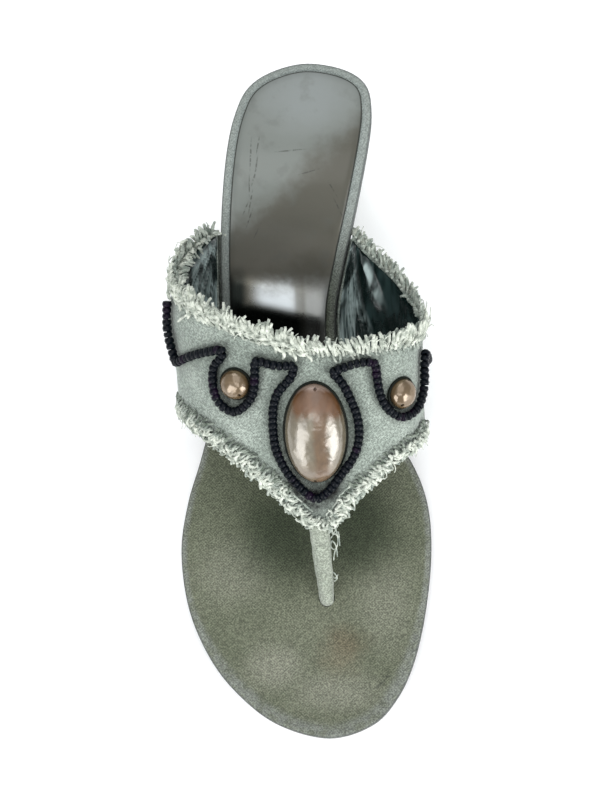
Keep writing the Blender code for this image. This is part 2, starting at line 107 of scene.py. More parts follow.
BAND_EDGES = (             # around, y of the front edge, y of the collar
    (-1.00, 110.5, 174.5), (-0.88, 114.0, 168.5), (-0.74, 115.0, 160.0), (-0.55, 107.0, 148.5),
    (-0.36, 96.0, 139.0), (-0.18, 83.5, 132.0), (-0.05, 75.5, 128.0), (0.05, 74.5, 127.0),
    (0.20, 83.0, 128.0), (0.40, 94.5, 133.5), (0.60, 103.5, 144.0), (0.75, 107.0, 157.5),
    (0.88, 105.5, 166.0), (1.00, 103.0, 172.5),
)
FRONT, COLLAR = 1, 2       # columns of the band's edges
LEDGE_SLACK = 1.2          # how much longer the ledge under the board is than the margin in it

POST = (                   # y, x, z, width, depth
    (83.0, 5.8, 36.0, 7.2, 2.4), (76.0, 5.8, 32.4, 7.2, 4.2), (69.0, 6.2, 27.6, 6.9, 5.2),
    (61.0, 6.8, 20.8, 6.4, 5.5), (54.0, 7.3, 13.8, 5.8, 5.6), (49.5, 7.5, 8.6, 5.2, 5.6),
    (48.4, 7.5, 4.0, 5.1, 5.6),
)

# ---- ornaments ----
STONES = (
    # name, around, y, half width, half length, dome, sew holes (across, along)
    ("oval", 0.000, 102.6, 10.4, 18.2, 6.0, ((0.05, 0.945), (-0.05, -0.93))),
    ("round_lateral", -0.315, 118.3, 5.1, 5.1, 3.6, ((0.50, -0.52),)),
    ("round_medial", 0.370, 115.2, 4.8, 5.1, 3.6, ((-0.46, -0.56),)),
)
SEW_HOLE = 0.55            # radius of a stone's sew holes
BEAD_RADIUS = 1.5
BEAD_PITCH = 2.1
BEAD_RING = (1.08, 0.60)   # radii of a bead's ring and of its glass, before it is drawn out
BEAD_LONG = 1.85
BEAD_ROUTE = (
    ((-0.615, 146.5), (-0.61, 138.0), (-0.60, 128.0)),
    ((-0.60, 128.0), (-0.47, 129.0), (-0.345, 129.5)),
    ((-0.345, 129.5), (-0.35, 127.0), (-0.39, 124.5), (-0.405, 119.0), (-0.40, 114.5),
     (-0.37, 111.5), (-0.33, 110.0), (-0.28, 112.0), (-0.245, 115.0), (-0.23, 119.5),
     (-0.225, 125.5)),
    ((-0.225, 125.5), (-0.175, 124.0), (-0.125, 123.2), (-0.075, 123.6)),
    ((-0.075, 123.6), (-0.09, 119.8), (-0.145, 115.3), (-0.17, 110.0), (-0.18, 102.0),
     (-0.172, 96.5), (-0.13, 89.8), (-0.06, 84.5), (-0.01, 82.2)),
    ((-0.01, 82.2), (0.06, 85.0), (0.13, 90.0), (0.19, 95.5), (0.208, 101.0), (0.195, 107.0),
     (0.155, 113.0), (0.11, 118.3), (0.065, 121.2)),
    ((0.065, 121.2), (0.13, 123.0), (0.18, 124.2), (0.228, 124.2)),
    ((0.228, 124.2), (0.245, 119.5), (0.275, 114.0), (0.32, 110.2), (0.38, 108.0),
     (0.435, 109.2), (0.475, 113.0), (0.492, 119.0), (0.475, 124.5), (0.47, 129.5)),
    ((0.47, 129.5), (0.57, 129.0), (0.67, 129.5)),
    ((0.67, 129.5), (0.68, 139.0), (0.688, 147.5)),
)

# Where the shoe's own coordinates lie in the frame, read from the top lift.
lift_low, lift_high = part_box("top_lift")
ORIGIN = np.array([(lift_low.x + lift_high.x) / 2.0 / MM - LIFT_X, -LENGTH / 2.0, 0.0])


# ---- curves and surfaces ----
def smooth(table, at, column=1):
    """A smooth curve through one column of a table, read against its first column."""
    rows = np.array([[row[0], row[column]] for row in table], dtype=float)
    xs, ys = rows[:, 0], rows[:, 1]
    chord = np.diff(ys) / np.diff(xs)
    slope = np.concatenate([chord[:1], np.zeros(len(xs) - 2), chord[-1:]])
    same = chord[:-1] * chord[1:] > 0.0
    mean = 2.0 * chord[:-1] * chord[1:] / np.where(same, chord[:-1] + chord[1:], 1.0)
    slope[1:-1] = np.where(same, mean, 0.0)
    at = np.clip(np.asarray(at, dtype=float), xs[0], xs[-1])
    span = np.clip(np.searchsorted(xs, at, side="right") - 1, 0, len(xs) - 2)
    width = xs[span + 1] - xs[span]
    s = (at - xs[span]) / width
    return ((2 * s**3 - 3 * s**2 + 1) * ys[span] + (s**3 - 2 * s**2 + s) * width * slope[span]
            + (3 * s**2 - 2 * s**3) * ys[span + 1] + (s**3 - s**2) * width * slope[span + 1])


def spline(points, closed=False, per_span=16):
    """Dense points along a Catmull-Rom curve through the given ones."""
    points = np.array(points, dtype=float)
    if closed:
        knots = np.concatenate([points[-1:], points, points[:2]])
    else:
        knots = np.concatenate([2 * points[:1] - points[1:2], points,
                                2 * points[-1:] - points[-2:-1]])
    dense = []
    for i in range(1, len(knots) - 2):
        a, b, c, d = knots[i - 1:i + 3]
        for s in np.arange(per_span) / per_span:
            dense.append(0.5 * (2 * b + (c - a) * s + (2 * a - 5 * b + 4 * c - d) * s**2
                                + (3 * b - a - 3 * c + d) * s**3))
    return np.array(dense if closed else dense + [points[-1]])


def running_length(points):
    return np.concatenate([[0.0], np.cumsum(np.linalg.norm(np.diff(points, axis=0), axis=1))])


def evenly(points, count):
    """Evenly spaced points along a line of points, both ends kept."""
    run = running_length(points)
    at = np.linspace(0.0, run[-1], count)
    return np.stack([np.interp(at, run, points[:, k]) for k in range(points.shape[1])], axis=1)


def unit(vectors):
    return vectors / np.linalg.norm(vectors, axis=-1, keepdims=True)


def half_outlines(inset):
    """The outline moved inwards by inset, as its lateral and its medial half, toe to heel."""
    loop = ([(TOE_X, 0.0)] + [(lateral, y) for y, lateral, _ in OUTLINE] + [(HEEL_X, LENGTH)]
            + [(medial, y) for y, _, medial in reversed(OUTLINE)])
    dense = spline(loop, closed=True)
    tangent = unit(np.roll(dense, -1, axis=0) - np.roll(dense, 1, axis=0))
    moved = dense + np.stack([tangent[:, 1], -tangent[:, 0]], axis=1) * inset
    toe, heel_back = int(np.argmin(moved[:, 1])), int(np.argmax(moved[:, 1]))
    moved = np.roll(moved, -toe, axis=0)
    heel_back = (heel_back - toe) % len(moved)
    return moved[:heel_back + 1], np.concatenate([moved[heel_back:], moved[:1]])[::-1]


def side_x(side, y):
    return np.interp(y, side[:, 1], side[:, 0])


def stretch(side, first, last, count):
    """Evenly spaced points on one half outline between two lengths."""
    inside = side[(side[:, 1] > first) & (side[:, 1] < last)]
    ends = [(side_x(side, y), np.clip(y, side[0, 1], side[-1, 1])) for y in (first, last)]
    return evenly(np.concatenate([ends[:1], inside, ends[1:]]), count)


def plan(inset, start, stop, rows, columns):
    """Points over the sole's plan between two lengths, rows from the toe to the heel."""
    lateral, medial = (stretch(side, start, stop, rows) for side in half_outlines(inset))
    share = np.linspace(0.0, 1.0, columns)[None, :, None]
    return lateral[:, None, :] * (1.0 - share) + medial[:, None, :] * share


PROFILE_Y = np.linspace(0.0, LENGTH, 459)
PROFILE_RISE = np.tan(np.radians(smooth(PITCH, PROFILE_Y)))
PROFILE_Z = np.concatenate([[0.0], np.cumsum((PROFILE_RISE[1:] + PROFILE_RISE[:-1]) / 2.0
                                             * np.diff(PROFILE_Y))])
PROFILE_Z += TREAD_HEIGHT - np.interp(TREAD_MIDDLE, PROFILE_Y, PROFILE_Z)
PROFILE_RUN = running_length(np.column_stack([PROFILE_Y, PROFILE_Z]))


def level(y, depth=0.0):
    """Height of the board's top at y, or of the surface a depth under it."""
    lean = np.sqrt(1.0 + np.interp(y, PROFILE_Y, PROFILE_RISE) ** 2)
    return np.interp(y, PROFILE_Y, PROFILE_Z) - depth * lean


CLEAR_OUTLINE = dict(zip((-1, 1), half_outlines(-EDGE_CLEARANCE)))


def half_section(y, side):
    """Half of the last's cross section as (x, z), from the crest down to the board's edge."""
    crest = np.array([smooth(SECTIONS, y, 1), smooth(SECTIONS, y, 2)])
    column = 3 if side < 0 else 5
    widest = np.array([smooth(SECTIONS, y, column), smooth(SECTIONS, y, column + 1)])
    turn = np.linspace(0.0, math.pi / 2.0, 110)
    power = 2.0 / ARCH_POWER[side]
    arch = np.column_stack([
        crest[0] + (widest[0] - crest[0]) * np.sin(turn) ** power,
        widest[1] + (crest[1] - widest[1]) * np.cos(turn) ** power])
    edge = np.array([side_x(CLEAR_OUTLINE[side], y), level(y, 0.6)])
    drop = np.linspace(0.0, 1.0, 40)[1:]
    flank = np.column_stack([widest[0] + (edge[0] - widest[0]) * drop**2,
                             widest[1] + (edge[1] - widest[1]) * drop])
    return np.concatenate([arch, flank])


FACE_AROUND = np.linspace(-1.0, 1.0, 321)
FACE_Y = np.linspace(70.0, 180.0, 221)


def measure_last():
    """Points and outward normals of the last, over all that the band covers."""
    half = (len(FACE_AROUND) + 1) // 2
    lateral, medial = (np.array([evenly(half_section(y, side), half) for y in FACE_Y])
                       for side in (-1, 1))
    section = np.concatenate([lateral[:, :0:-1], medial], axis=1)
    y = np.broadcast_to(FACE_Y[:, None], section.shape[:2])
    points = np.stack([section[..., 0], y, section[..., 1]], axis=2)
    normals = unit(np.cross(np.gradient(points, axis=1), np.gradient(points, axis=0)))
    return np.concatenate([points, normals], axis=2)


LAST = measure_last()


def on_band(around, y, lift=0.0):
    """Points on the band's outer face, or a lift above it, and the face's normals there."""
    around, y = np.broadcast_arrays(np.asarray(around, dtype=float), np.asarray(y, dtype=float))
    column = np.clip((around + 1.0) / 2.0 * (len(FACE_AROUND) - 1), 0.0, len(FACE_AROUND) - 1.001)
    row = np.clip((y - FACE_Y[0]) / (FACE_Y[-1] - FACE_Y[0]) * (len(FACE_Y) - 1),
                  0.0, len(FACE_Y) - 1.001)
    i, j = row.astype(int), column.astype(int)
    s, t = (row - i)[..., None], (column - j)[..., None]
    found = ((1 - s) * (1 - t) * LAST[i, j] + (1 - s) * t * LAST[i, j + 1]
             + s * (1 - t) * LAST[i + 1, j] + s * t * LAST[i + 1, j + 1])
    normal = unit(found[..., 3:])
    return found[..., :3] + normal * (WALL + np.asarray(lift)[..., None]), normal


def edge_y(around, column):
    """Length at which the band's front edge or collar lies, at a place around it."""
    return smooth(BAND_EDGES, around, column)


# ---- modelling ----
def choose(*items):
    """Select only these objects; the last one is active."""
    bpy.ops.object.select_all(action="DESELECT")
    for item in items:
        item.select_set(True)
        bpy.context.view_layer.objects.active = item


def add(operator, **settings):
    """Add a primitive, a lamp or the camera with nothing else selected."""
    choose()
    operator(**settings)
    return bpy.context.object


def to_frame(points):
    return (np.asarray(points, dtype=float) + ORIGIN) * MM


def lay_grid(name, points, measure=None):
    """A grid primitive laid over rows and columns of points; measure is its UV map in mm."""
    rows, columns = points.shape[:2]
    item = add(bpy.ops.mesh.primitive_grid_add, x_subdivisions=columns - 1,
               y_subdivisions=rows - 1, size=1.0)
    item.name = item.data.name = name
    item.data.vertices.foreach_set("co", to_frame(points).ravel())
    if measure is not None:
        corners = np.zeros(len(item.data.loops), dtype=np.int32)
        item.data.loops.foreach_get("vertex_index", corners)
        item.data.uv_layers[0].data.foreach_set("uv", measure.reshape(-1, 2)[corners].ravel())
    item.data.update()
    return item


def lay_sheet(name, outer, inner, measure=None):
    """A closed sheet between two faces, each given as rows and columns of points."""
    item = lay_grid(name, outer, measure)
    finish_with(item, "SOLIDIFY", thickness=MM, offset=-1.0)
    both = np.concatenate([to_frame(outer).reshape(-1, 3), to_frame(inner).reshape(-1, 3)])
    item.data.vertices.foreach_set("co", both.ravel())
    item.data.update()
    return item


def finish_with(item, kind, **settings):
    """Put a modifier on a piece and apply it."""
    choose(item)
    step = item.modifiers.new(kind.lower(), kind)
    for name, value in settings.items():
        setattr(step, name, value)
    bpy.ops.object.modifier_apply(modifier=step.name)


def round_edges(item, width):
    finish_with(item, "BEVEL", width=width * MM, segments=3, limit_method="ANGLE",
                angle_limit=math.radians(50.0), harden_normals=False)


def mend(item, distance=0.01):
    """Merge doubled points, close open ends and turn all faces outwards."""
    choose(item)
    bpy.ops.object.mode_set(mode="EDIT")
    bpy.ops.mesh.select_all(action="SELECT")
    bpy.ops.mesh.remove_doubles(threshold=distance * MM)
    bpy.ops.mesh.dissolve_degenerate(threshold=distance * MM)
    bpy.ops.mesh.select_all(action="SELECT")
    bpy.ops.mesh.fill_holes(sides=0)
    bpy.ops.mesh.select_all(action="SELECT")
    bpy.ops.mesh.normals_make_consistent(inside=False)
    bpy.ops.object.mode_set(mode="OBJECT")


def note(item, name, values):
    """Mark each of a piece's points with a number; a sheet's two faces take the same ones."""
    marks = item.data.attributes.new(name, "FLOAT", "POINT")
    marks.data.foreach_set("value", np.resize(values, len(item.data.vertices)))


def join(items, name):
    choose(*items)
    bpy.ops.object.join()
    item = bpy.context.object
    item.name = item.data.name = name
    return item


def wear(item, finish, slot, *replaced, crisp=40.0):
    """Smooth a piece but for its crisp edges, give it its finish and seat it on the one body."""
    choose(item)
    bpy.ops.object.shade_smooth_by_angle(angle=math.radians(crisp))
    item.data.materials.clear()
    item.data.materials.append(finish.material)
    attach(item, "root")
    if replaced:
        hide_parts(*replaced)


# ---- finishes ----
def maths(operation, swapped=False):
    """A method that adds one Math node."""
    def method(self, *others):
        values = (*others, self) if swapped else (self, *others)
        return self.finish.node("Math", {"operation": operation}, dict(enumerate(values)))
    return method


class Signal:
    """One output in a finish's node tree; arithmetic on it adds Math nodes."""

    def __init__(self, finish, socket):
        self.finish = finish
        self.socket = socket

    __add__ = __radd__ = maths("ADD")
    __mul__ = __rmul__ = maths("MULTIPLY")
    __sub__, __rsub__ = maths("SUBTRACT"), maths("SUBTRACT", swapped=True)
    __truediv__, __pow__ = maths("DIVIDE"), maths("POWER")
    most, size, sine = maths("MAXIMUM"), maths("ABSOLUTE"), maths("SINE")


class Finish:
    """A surface's material. Constants go on its shader; over gives what changes over it."""

    def __init__(self, name, **constants):
        self.material = bpy.data.materials.new(name)
        self.material.use_nodes = True
        self.tree = self.material.node_tree
        self.shader = self.tree.nodes["Principled BSDF"]
        for key, value in constants.items():
            self.shader.inputs[key.replace("_", " ")].default_value = value
        place = self.node("TexCoord", output="Object")
        self.place = self.node("VectorMath", {"operation": "SCALE"}, {0: place, "Scale": 1000.0})
        self.x, self.y, self.z = self.axes(self.place)

    def node(self, kind, settings=None, inputs=None, output=0):
        made = self.tree.nodes.new("ShaderNode" + kind)
        for key, value in (settings or {}).items():
            setattr(made, key, value)
        for key, value in (inputs or {}).items():
            if isinstance(value, Signal):
                self.tree.links.new(value.socket, made.inputs[key])
            else:
                made.inputs[key].default_value = value
        return Signal(self, made.outputs[output])

    def axes(self, vector):
        split = self.node("SeparateXYZ", inputs={0: vector})
        return [Signal(self, socket) for socket in split.socket.node.outputs]

    def surface_mm(self):
        """The piece's own UV map, which is in millimetres."""
        return self.axes(self.node("UVMap", {"uv_map": "UVMap"}))[:2]

    def noted(self, name):
        """The number that each of the piece's points is marked with."""
        return self.node("Attribute", {"attribute_name": name}, output=2)

    def noise(self, size, detail=3.0, roughness=0.55, distortion=0.0, place=None):
        """Noise from 0 to 1 with features of a size in millimetres."""
        return self.node("TexNoise", inputs={
            "Vector": place or self.place, "Scale": 1.0 / size, "Detail": detail,
            "Roughness": roughness, "Distortion": distortion})

    def step(self, value, low, high):
        """0 below low, 1 above high, smooth between; low may be the larger one."""
        return self.node("MapRange", {"interpolation_type": "SMOOTHERSTEP"}, {
            "Value": value, "From Min": low, "From Max": high, "To Min": 0.0, "To Max": 1.0})

    def mix(self, share, first, second):
        """A colour between two; each is a colour or a signal."""
        first, second = (c if isinstance(c, Signal) else (*c, 1.0) for c in (first, second))
        return self.node("Mix", {"data_type": "RGBA"}, {0: share, 6: first, 7: second}, output=2)

    def layers(self, tone, *coats):
        """A tone with others laid over it in turn, each with its share."""
        for share, colour in coats:
            tone = self.mix(share, tone, colour)
        return tone

    def shade(self, colour, factor):
        """A colour made lighter or darker by a factor."""
        return self.node("VectorMath", {"operation": "SCALE"}, {0: colour, "Scale": factor})

    def stretched(self, size, across, along, detail=3.0):
        """Noise drawn out along x and y of the shoe by these factors."""
        place = self.node("VectorMath", {"operation": "MULTIPLY"},
                          {0: self.place, 1: (1.0 / across, 1.0 / along, 1.0)})
        return self.noise(size, detail=detail, place=place)

    def spot(self, x, y, radius_x, radius_y, soft=1.0, ragged=0.0, turn=0.0):
        """A soft oval mask about a place in the shoe's plan, turned by degrees."""
        right, back = self.x - (x + ORIGIN[0]), self.y - (y + ORIGIN[1])
        cosine, sine = math.cos(math.radians(turn)), math.sin(math.radians(turn))
        far = (((right * cosine + back * sine) / radius_x) ** 2.0
               + ((back * cosine - right * sine) / radius_y) ** 2.0) ** 0.5
        if ragged:
            far = far + (self.noise(6.0) - 0.5) * ragged
        return self.step(far, 1.0 + soft / 2.0, 1.0 - soft / 2.0)

    def over(self, **signals):
        for key, signal in signals.items():
            self.tree.links.new(signal.socket, self.shader.inputs[key.replace("_", " ")])
        return self

    def bump(self, height, distance, under=None):
        """A normal from a height; distance is the relief's full depth in millimetres."""
        inputs = {"Height": height, "Distance": distance * MM, "Strength": 1.0}
        if under:
            inputs["Normal"] = under
        return self.node("Bump", inputs=inputs)

    def weave(self, across, along, thread):
        """Plain weave: each thread rises over one crossing and dips under the next."""
        turn = math.pi / thread
        wobble = (self.noise(4.0) - 0.5) * 0.9
        return 0.5 + 0.5 * ((across + wobble) * turn).sine() * ((along - wobble) * turn).sine()


def woven(name, low, high):
    """Mottled canvas in two close tones."""
    cloth = Finish(name, Roughness=0.95, Sheen_Weight=0.25, Sheen_Roughness=0.5,
                   Specular_IOR_Level=0.2)
    across, along = cloth.surface_mm()
    weave = cloth.weave(across, along, 0.50)
    slub = cloth.noise(0.72, detail=2.0, roughness=0.7)
    tone = cloth.mix(cloth.step(cloth.noise(14.0), 0.35, 0.7), low, high)
    fleck = cloth.step(slub + (weave - 0.5) * 0.08, 0.30, 0.76)
    # Darker where the piece is marked beside beads, stones and the front edge: painted shade, with
    # some grime.
    shade_and_grime = cloth.noted("shade_and_grime") * (cloth.step(cloth.noise(4.5), 0.34, 0.62) * 0.5 + 0.68)
    cloth.over(Base_Color=cloth.shade(tone, (0.60 + fleck * 0.72) * (1.0 - shade_and_grime * 0.74)))
    cloth.over(Normal=cloth.bump(slub, 0.50, cloth.bump(weave, 0.10)))
    return cloth


YARNS = (                  # kind, dark tone, light tone
    ("pale", (0.29, 0.325, 0.275), (0.66, 0.695, 0.61)),
    ("dull", (0.21, 0.25, 0.215), (0.48, 0.52, 0.455)),
    # The darkest yarn, for roots inside the front edge: painted shade.
    ("shaded", (0.070, 0.092, 0.070), (0.235, 0.272, 0.226)),
)


def loose_yarn(kind, dark, light):
    yarn = Finish(kind + "_yarn", Roughness=0.9, Sheen_Weight=0.3, Specular_IOR_Level=0.2)
    tone = yarn.mix(yarn.step(yarn.noise(2.2), 0.3, 0.7), dark, light)
    yarn.over(Base_Color=tone, Normal=yarn.bump(yarn.noise(0.35), 0.12))
    return yarn


# Rubbed pale under the toes; dark on both sides of the post's upper end and in a wide patch about
# it, painted shade under the band's front with some dirt of use; two stains.
RUBBED, USE_AND_SHADE = (0.355, 0.368, 0.285), (0.040, 0.058, 0.030)
BOARD_STAINS = (
    # x, y, across, along, soft, ragged, turn, share, colour
    (-11.0, 25.0, 9.0, 7.0, 1.6, 0.5, 0.0, 0.90, RUBBED),
    (11.0, 16.0, 14.0, 6.0, 1.6, 0.5, 0.0, 0.80, RUBBED),
    (-25.0, 60.0, 13.0, 11.0, 1.6, 0.5, 0.0, 0.60, RUBBED),
    (28.0, 48.0, 9.0, 14.0, 1.6, 0.5, 0.0, 0.50, RUBBED),
    (2.0, 82.0, 37.0, 27.0, 1.5, 0.35, 0.0, 0.50, (0.082, 0.104, 0.056)),
    (-8.0, 72.0, 13.0, 15.0, 1.7, 0.5, 0.0, 0.72, USE_AND_SHADE),
    (19.0, 74.0, 13.0, 15.0, 1.7, 0.5, 0.0, 0.72, USE_AND_SHADE),
    (15.0, 34.5, 7.0, 4.5, 1.9, 1.2, 0.0, 0.55, (0.150, 0.140, 0.085)),
    (12.5, 30.0, 6.0, 7.0, 1.9, 1.3, 0.0, 0.40, (0.290, 0.232, 0.150)),
)
BOARD_NICKS = (            # x, y, length, width, degrees
    (39.5, 31.0, 2.0, 0.4, 8.0), (26.5, 19.0, 2.4, 0.5, 38.0), (29.0, 21.6, 1.5, 0.45, 10.0),
)


def board_canvas():
    cloth = Finish("board_canvas", Roughness=0.95, Specular_IOR_Level=0.25, Sheen_Weight=0.1)
    weave = cloth.weave(cloth.x, cloth.y, 0.55)
    grain = cloth.noise(0.62, detail=2.0, roughness=0.75)
    blotch = cloth.noise(3.2, detail=2.0)
    y = cloth.y - ORIGIN[1]
    inside = cloth.noted("inside")
    tone = cloth.mix(cloth.step(cloth.noise(22.0), 0.3, 0.7), (0.196, 0.218, 0.148),
                     (0.236, 0.256, 0.180))
    tone = cloth.layers(tone, *((cloth.spot(*spot) * share, colour)
                                for *spot, share, colour in BOARD_STAINS))
    # Darker olive from y 118 back, painted shade under the band; the rim under the heel is paler
    # and greyer; the turned edge is rubbed, its corner dark.
    rear = cloth.step(y + cloth.x * -0.6, 138.0, 175.0)
    worn = cloth.step(blotch, 0.30, 0.62) * cloth.step(y, 122.0, 100.0)
    reach = cloth.step(y, 60.0, 10.0) * 0.45 + 0.40
    tone = cloth.layers(
        tone, (cloth.step(y, 118.0, 132.0), (0.150, 0.172, 0.125)), (rear, (0.390, 0.440, 0.415)),
        (cloth.step(inside / reach, 1.0, 0.3) * (0.35 + worn * 0.45), (0.320, 0.345, 0.310)),
        (cloth.step(inside, 0.10, 0.02) * 0.7, (0.090, 0.100, 0.098)),
        *((cloth.spot(*nick, soft=1.6, turn=turn) * 0.5, (0.050, 0.056, 0.050))
          for *nick, turn in BOARD_NICKS))
    fleck = cloth.step(grain + (weave - 0.5) * 0.10, 0.30, 0.76) * (0.56 - rear * 0.24)
    cloth.over(Base_Color=cloth.shade(tone, 0.38 + rear * 0.12 + fleck + (blotch - 0.5) * 0.14))
    cloth.over(Normal=cloth.bump(grain, 0.45, cloth.bump(weave, 0.14)))
    return cloth


SCRATCHES = (              # x, y, length, width, degrees
    (14.5, 180.0, 3.6, 0.26, -62.0), (-15.8, 198.0, 4.5, 0.26, 86.0),
    (-14.0, 194.0, 3.4, 0.26, 80.0), (-14.9, 190.5, 2.6, 0.24, 70.0),
    (-16.4, 183.0, 3.2, 0.26, 76.0), (-13.2, 201.0, 2.6, 0.22, 78.0),
    (-18.2, 181.0, 2.0, 0.24, 62.0), (-16.6, 188.0, 3.0, 0.22, 88.0),
    (-17.0, 178.0, 3.0, 0.22, 66.0), (-14.5, 174.0, 2.4, 0.20, 58.0),
    (-2.0, 199.0, 4.5, 0.22, 4.0), (4.0, 192.0, 3.5, 0.20, 14.0),
    (12.0, 187.0, 3.0, 0.22, -58.0),
)


def sock_leather():
    hide = Finish("sock_leather", Specular_IOR_Level=0.5, Coat_Roughness=0.14, Coat_IOR=1.6)
    x = hide.x - ORIGIN[0]
    y = hide.y - ORIGIN[1]
    inside = hide.noted("inside")
    grain = hide.noise(0.9, detail=3.0)
    worn = hide.noise(16.0, detail=4.0)
    # Pewter leather, rubbed dull and grey where the heel rests and brown in the waist.
    ragged = (worn - 0.5) * 20.0 + (hide.noise(5.0) - 0.5) * 8.0
    seat = hide.step(y - x * 0.8 + ragged, 183.0, 200.0)
    dull = hide.step(y - x * 0.2 + (worn - 0.5) * 10.0, 162.0, 178.0)
    # Where it turns up from the ball: a pale bluish painted highlight, with a darker gap in it.
    turned = y + (x + 8.0) * 0.23
    gap = hide.step((x + 0.5).size(), 3.0, 0.6) * 0.6
    # Near black below the highlight, by the collar: painted shade.
    under = hide.step(turned, 152.2, 146.5) * (1.0 - hide.step(x, -3.0, 3.0) * 0.6)
    patchy = (worn - 0.5) * 6.0 + (hide.noise(3.0) - 0.5) * 5.0
    painted_highlight = (hide.step(y + patchy, 162.5, 151.0) * (1.0 - under)
              * hide.step(x, -20.0, -12.0) * (1.0 - hide.step(x, -6.0, 2.0) * 0.70) * (1.0 - gap))
    # Near black at the left, under the lateral side of the band: painted shade.
    side = hide.step(x, -17.0, -22.0) * hide.step(y, 166.0, 156.0)
    # A few scratches, broken along their length.
    scratch = 0.0
    for *place, turn in SCRATCHES:
        scratch = hide.spot(*place, soft=1.4, turn=turn).most(scratch)
    # Dark along the foot of the sock's rounded edge: painted shade in its seam with the board.
    seam_shade = hide.step(inside, 0.48, 0.43)
    tone = hide.layers(
        (0.104, 0.100, 0.080), (hide.step(worn, 0.3, 0.7), (0.132, 0.126, 0.104)),
        (dull, (0.086, 0.084, 0.068)), (seat, (0.148, 0.163, 0.149)),
        # A pale bluish spot towards the back of the heel: a painted sheen.
        (hide.spot(4.0, 217.0, 14.0, 10.0, soft=1.8, ragged=0.6) * 0.5, (0.225, 0.250, 0.250)),
        (hide.step(hide.noise(8.0, detail=4.0), 0.52, 0.70) * 0.30, (0.090, 0.096, 0.084)),
        (painted_highlight, (0.600, 0.640, 0.655)), (under.most(side), (0.012, 0.015, 0.013)),
        (scratch * hide.step(hide.noise(1.4), 0.36, 0.60) * 0.8, (0.045, 0.047, 0.040)),
        (seam_shade, (0.030, 0.034, 0.028)))
    matt = hide.step((turned - 167.0).size(), 13.0, 5.0) * (1.0 - seat) * 0.45
    hide.over(Base_Color=tone, Metallic=0.92 - seat * 0.40 - dull * 0.15 - matt - seam_shade * 0.3,
              Coat_Weight=0.15 + painted_highlight * 0.65 - under * 0.1,
              Roughness=0.22 + worn * 0.08 + dull * 0.28 + seam_shade * 0.3
              + hide.step(inside, 0.80, 0.50) * 0.14 + matt * 0.45 + painted_highlight * 0.06)
    # Stuffed where it turns up, so less steep there, and a little cupped across.
    swell = hide.step(y + (x + 8.0) * 0.12, 162.5, 144.0) * 4.9
    cup = (x + 6.0) ** 2.0 * 0.0030 * hide.step(y, 190.0, 160.0)
    hide.over(Normal=hide.bump(grain, 0.03, hide.bump(worn * 0.2 + swell + cup, 1.0)))
    return hide


def lining_leather():
    hide = Finish("lining_leather", Roughness=0.27, Specular_IOR_Level=0.35, Coat_Roughness=0.12,
                  Coat_Weight=0.15)
    across, along = hide.surface_mm()
    drawn = [hide.node("CombineXYZ", inputs={0: across, 1: along * short})
             for short in (0.30, 0.25)]
    crinkle = hide.noise(4.2, detail=2.0, distortion=0.4, place=drawn[0])
    tone = hide.layers(
        (0.002, 0.008, 0.007), (hide.step(crinkle, 0.40, 0.66), (0.020, 0.038, 0.037)),
        # Pale on the ridges where the lining stands proud: a painted highlight.
        (hide.noted("painted_ridge_highlight") * (hide.step(crinkle, 0.38, 0.60) * 0.95 + 0.05),
         (0.400, 0.490, 0.475)))
    fine = hide.noise(1.4, detail=1.0, place=drawn[1])
    hide.over(Base_Color=tone, Normal=hide.bump(fine, 0.16, hide.bump(crinkle, 0.45)))
    return hide


def black_rubber():
    rubber = Finish("black_rubber", Roughness=0.6, Specular_IOR_Level=0.4)
    grain = rubber.noise(0.7, detail=4.0)
    scuff = rubber.step(rubber.noise(9.0, detail=5.0), 0.5, 0.75)
    tone = rubber.mix(scuff, (0.020, 0.020, 0.019), (0.050, 0.048, 0.044))
    rubber.over(Base_Color=tone, Normal=rubber.bump(grain, 0.12))
    return rubber


def pearl(name, front, rear, metal, rough, dents, lean, copper_inside):
    """Pearly paint over a stone, copper at the rear and down the middle, clouded and streaked; the
    middle stripe is partly a painted dark reflection between the highlights, the pale top cap a
    painted reflection.
    """
    stone = Finish(name, Metallic=metal, IOR=1.9, Coat_Roughness=0.12, Coat_IOR=1.5)
    cloud = stone.noise(5.0, distortion=0.8)
    streak = stone.stretched(2.0, 1.1, 5.0, 2.0)
    swirl = stone.stretched(3.0, 1.0, 3.2, 0.0) + stone.noise(3.4, detail=0.0, distortion=1.2) * 0.5
    x = stone.x - ORIGIN[0]
    y = stone.y - ORIGIN[1] + (cloud - 0.5) * 6.0
    side = 1.0 - stone.step((x - 7.2 + (streak - 0.5) * 3.0).size(), 6.5, 9.5) * copper_inside
    middle = stone.step((x - 8.2 + (cloud - 0.5) * 3.0).size(), 3.6, 1.0)
    tone = stone.layers(front, (stone.step(y, 102.0, 108.0) * side, rear), (middle * 0.60, rear),
                        (stone.step(y, 93.0, 86.0) * 0.5, (0.150, 0.100, 0.065)),
                        # Pale pinkish cap at the top of the oval: a painted reflection.
                        (stone.step(y, 112.0, 114.5) * copper_inside, (0.290, 0.205, 0.165)))
    matt = stone.spot(7.2, 110.5, 8.5, 4.6, soft=0.9)
    stone.over(Base_Color=stone.shade(tone, 0.45 + streak * 0.7 + cloud * 0.4),
               Roughness=rough + cloud * 0.16 + matt * 0.25,
               Coat_Weight=(0.1 + cloud * 0.3) * (1.0 - matt * 0.9),
               Normal=stone.bump(swirl - stone.y * (lean / dents), dents))
    return stone


def bead_glass():
    glass = Finish("bead_glass", Roughness=0.32, Specular_IOR_Level=0.13)
    tint = glass.step(glass.noise(7.0), 0.54, 0.68)
    glass.over(Base_Color=glass.mix(tint, (0.0015, 0.0030, 0.0055), (0.006, 0.002, 0.010)))
    return glass


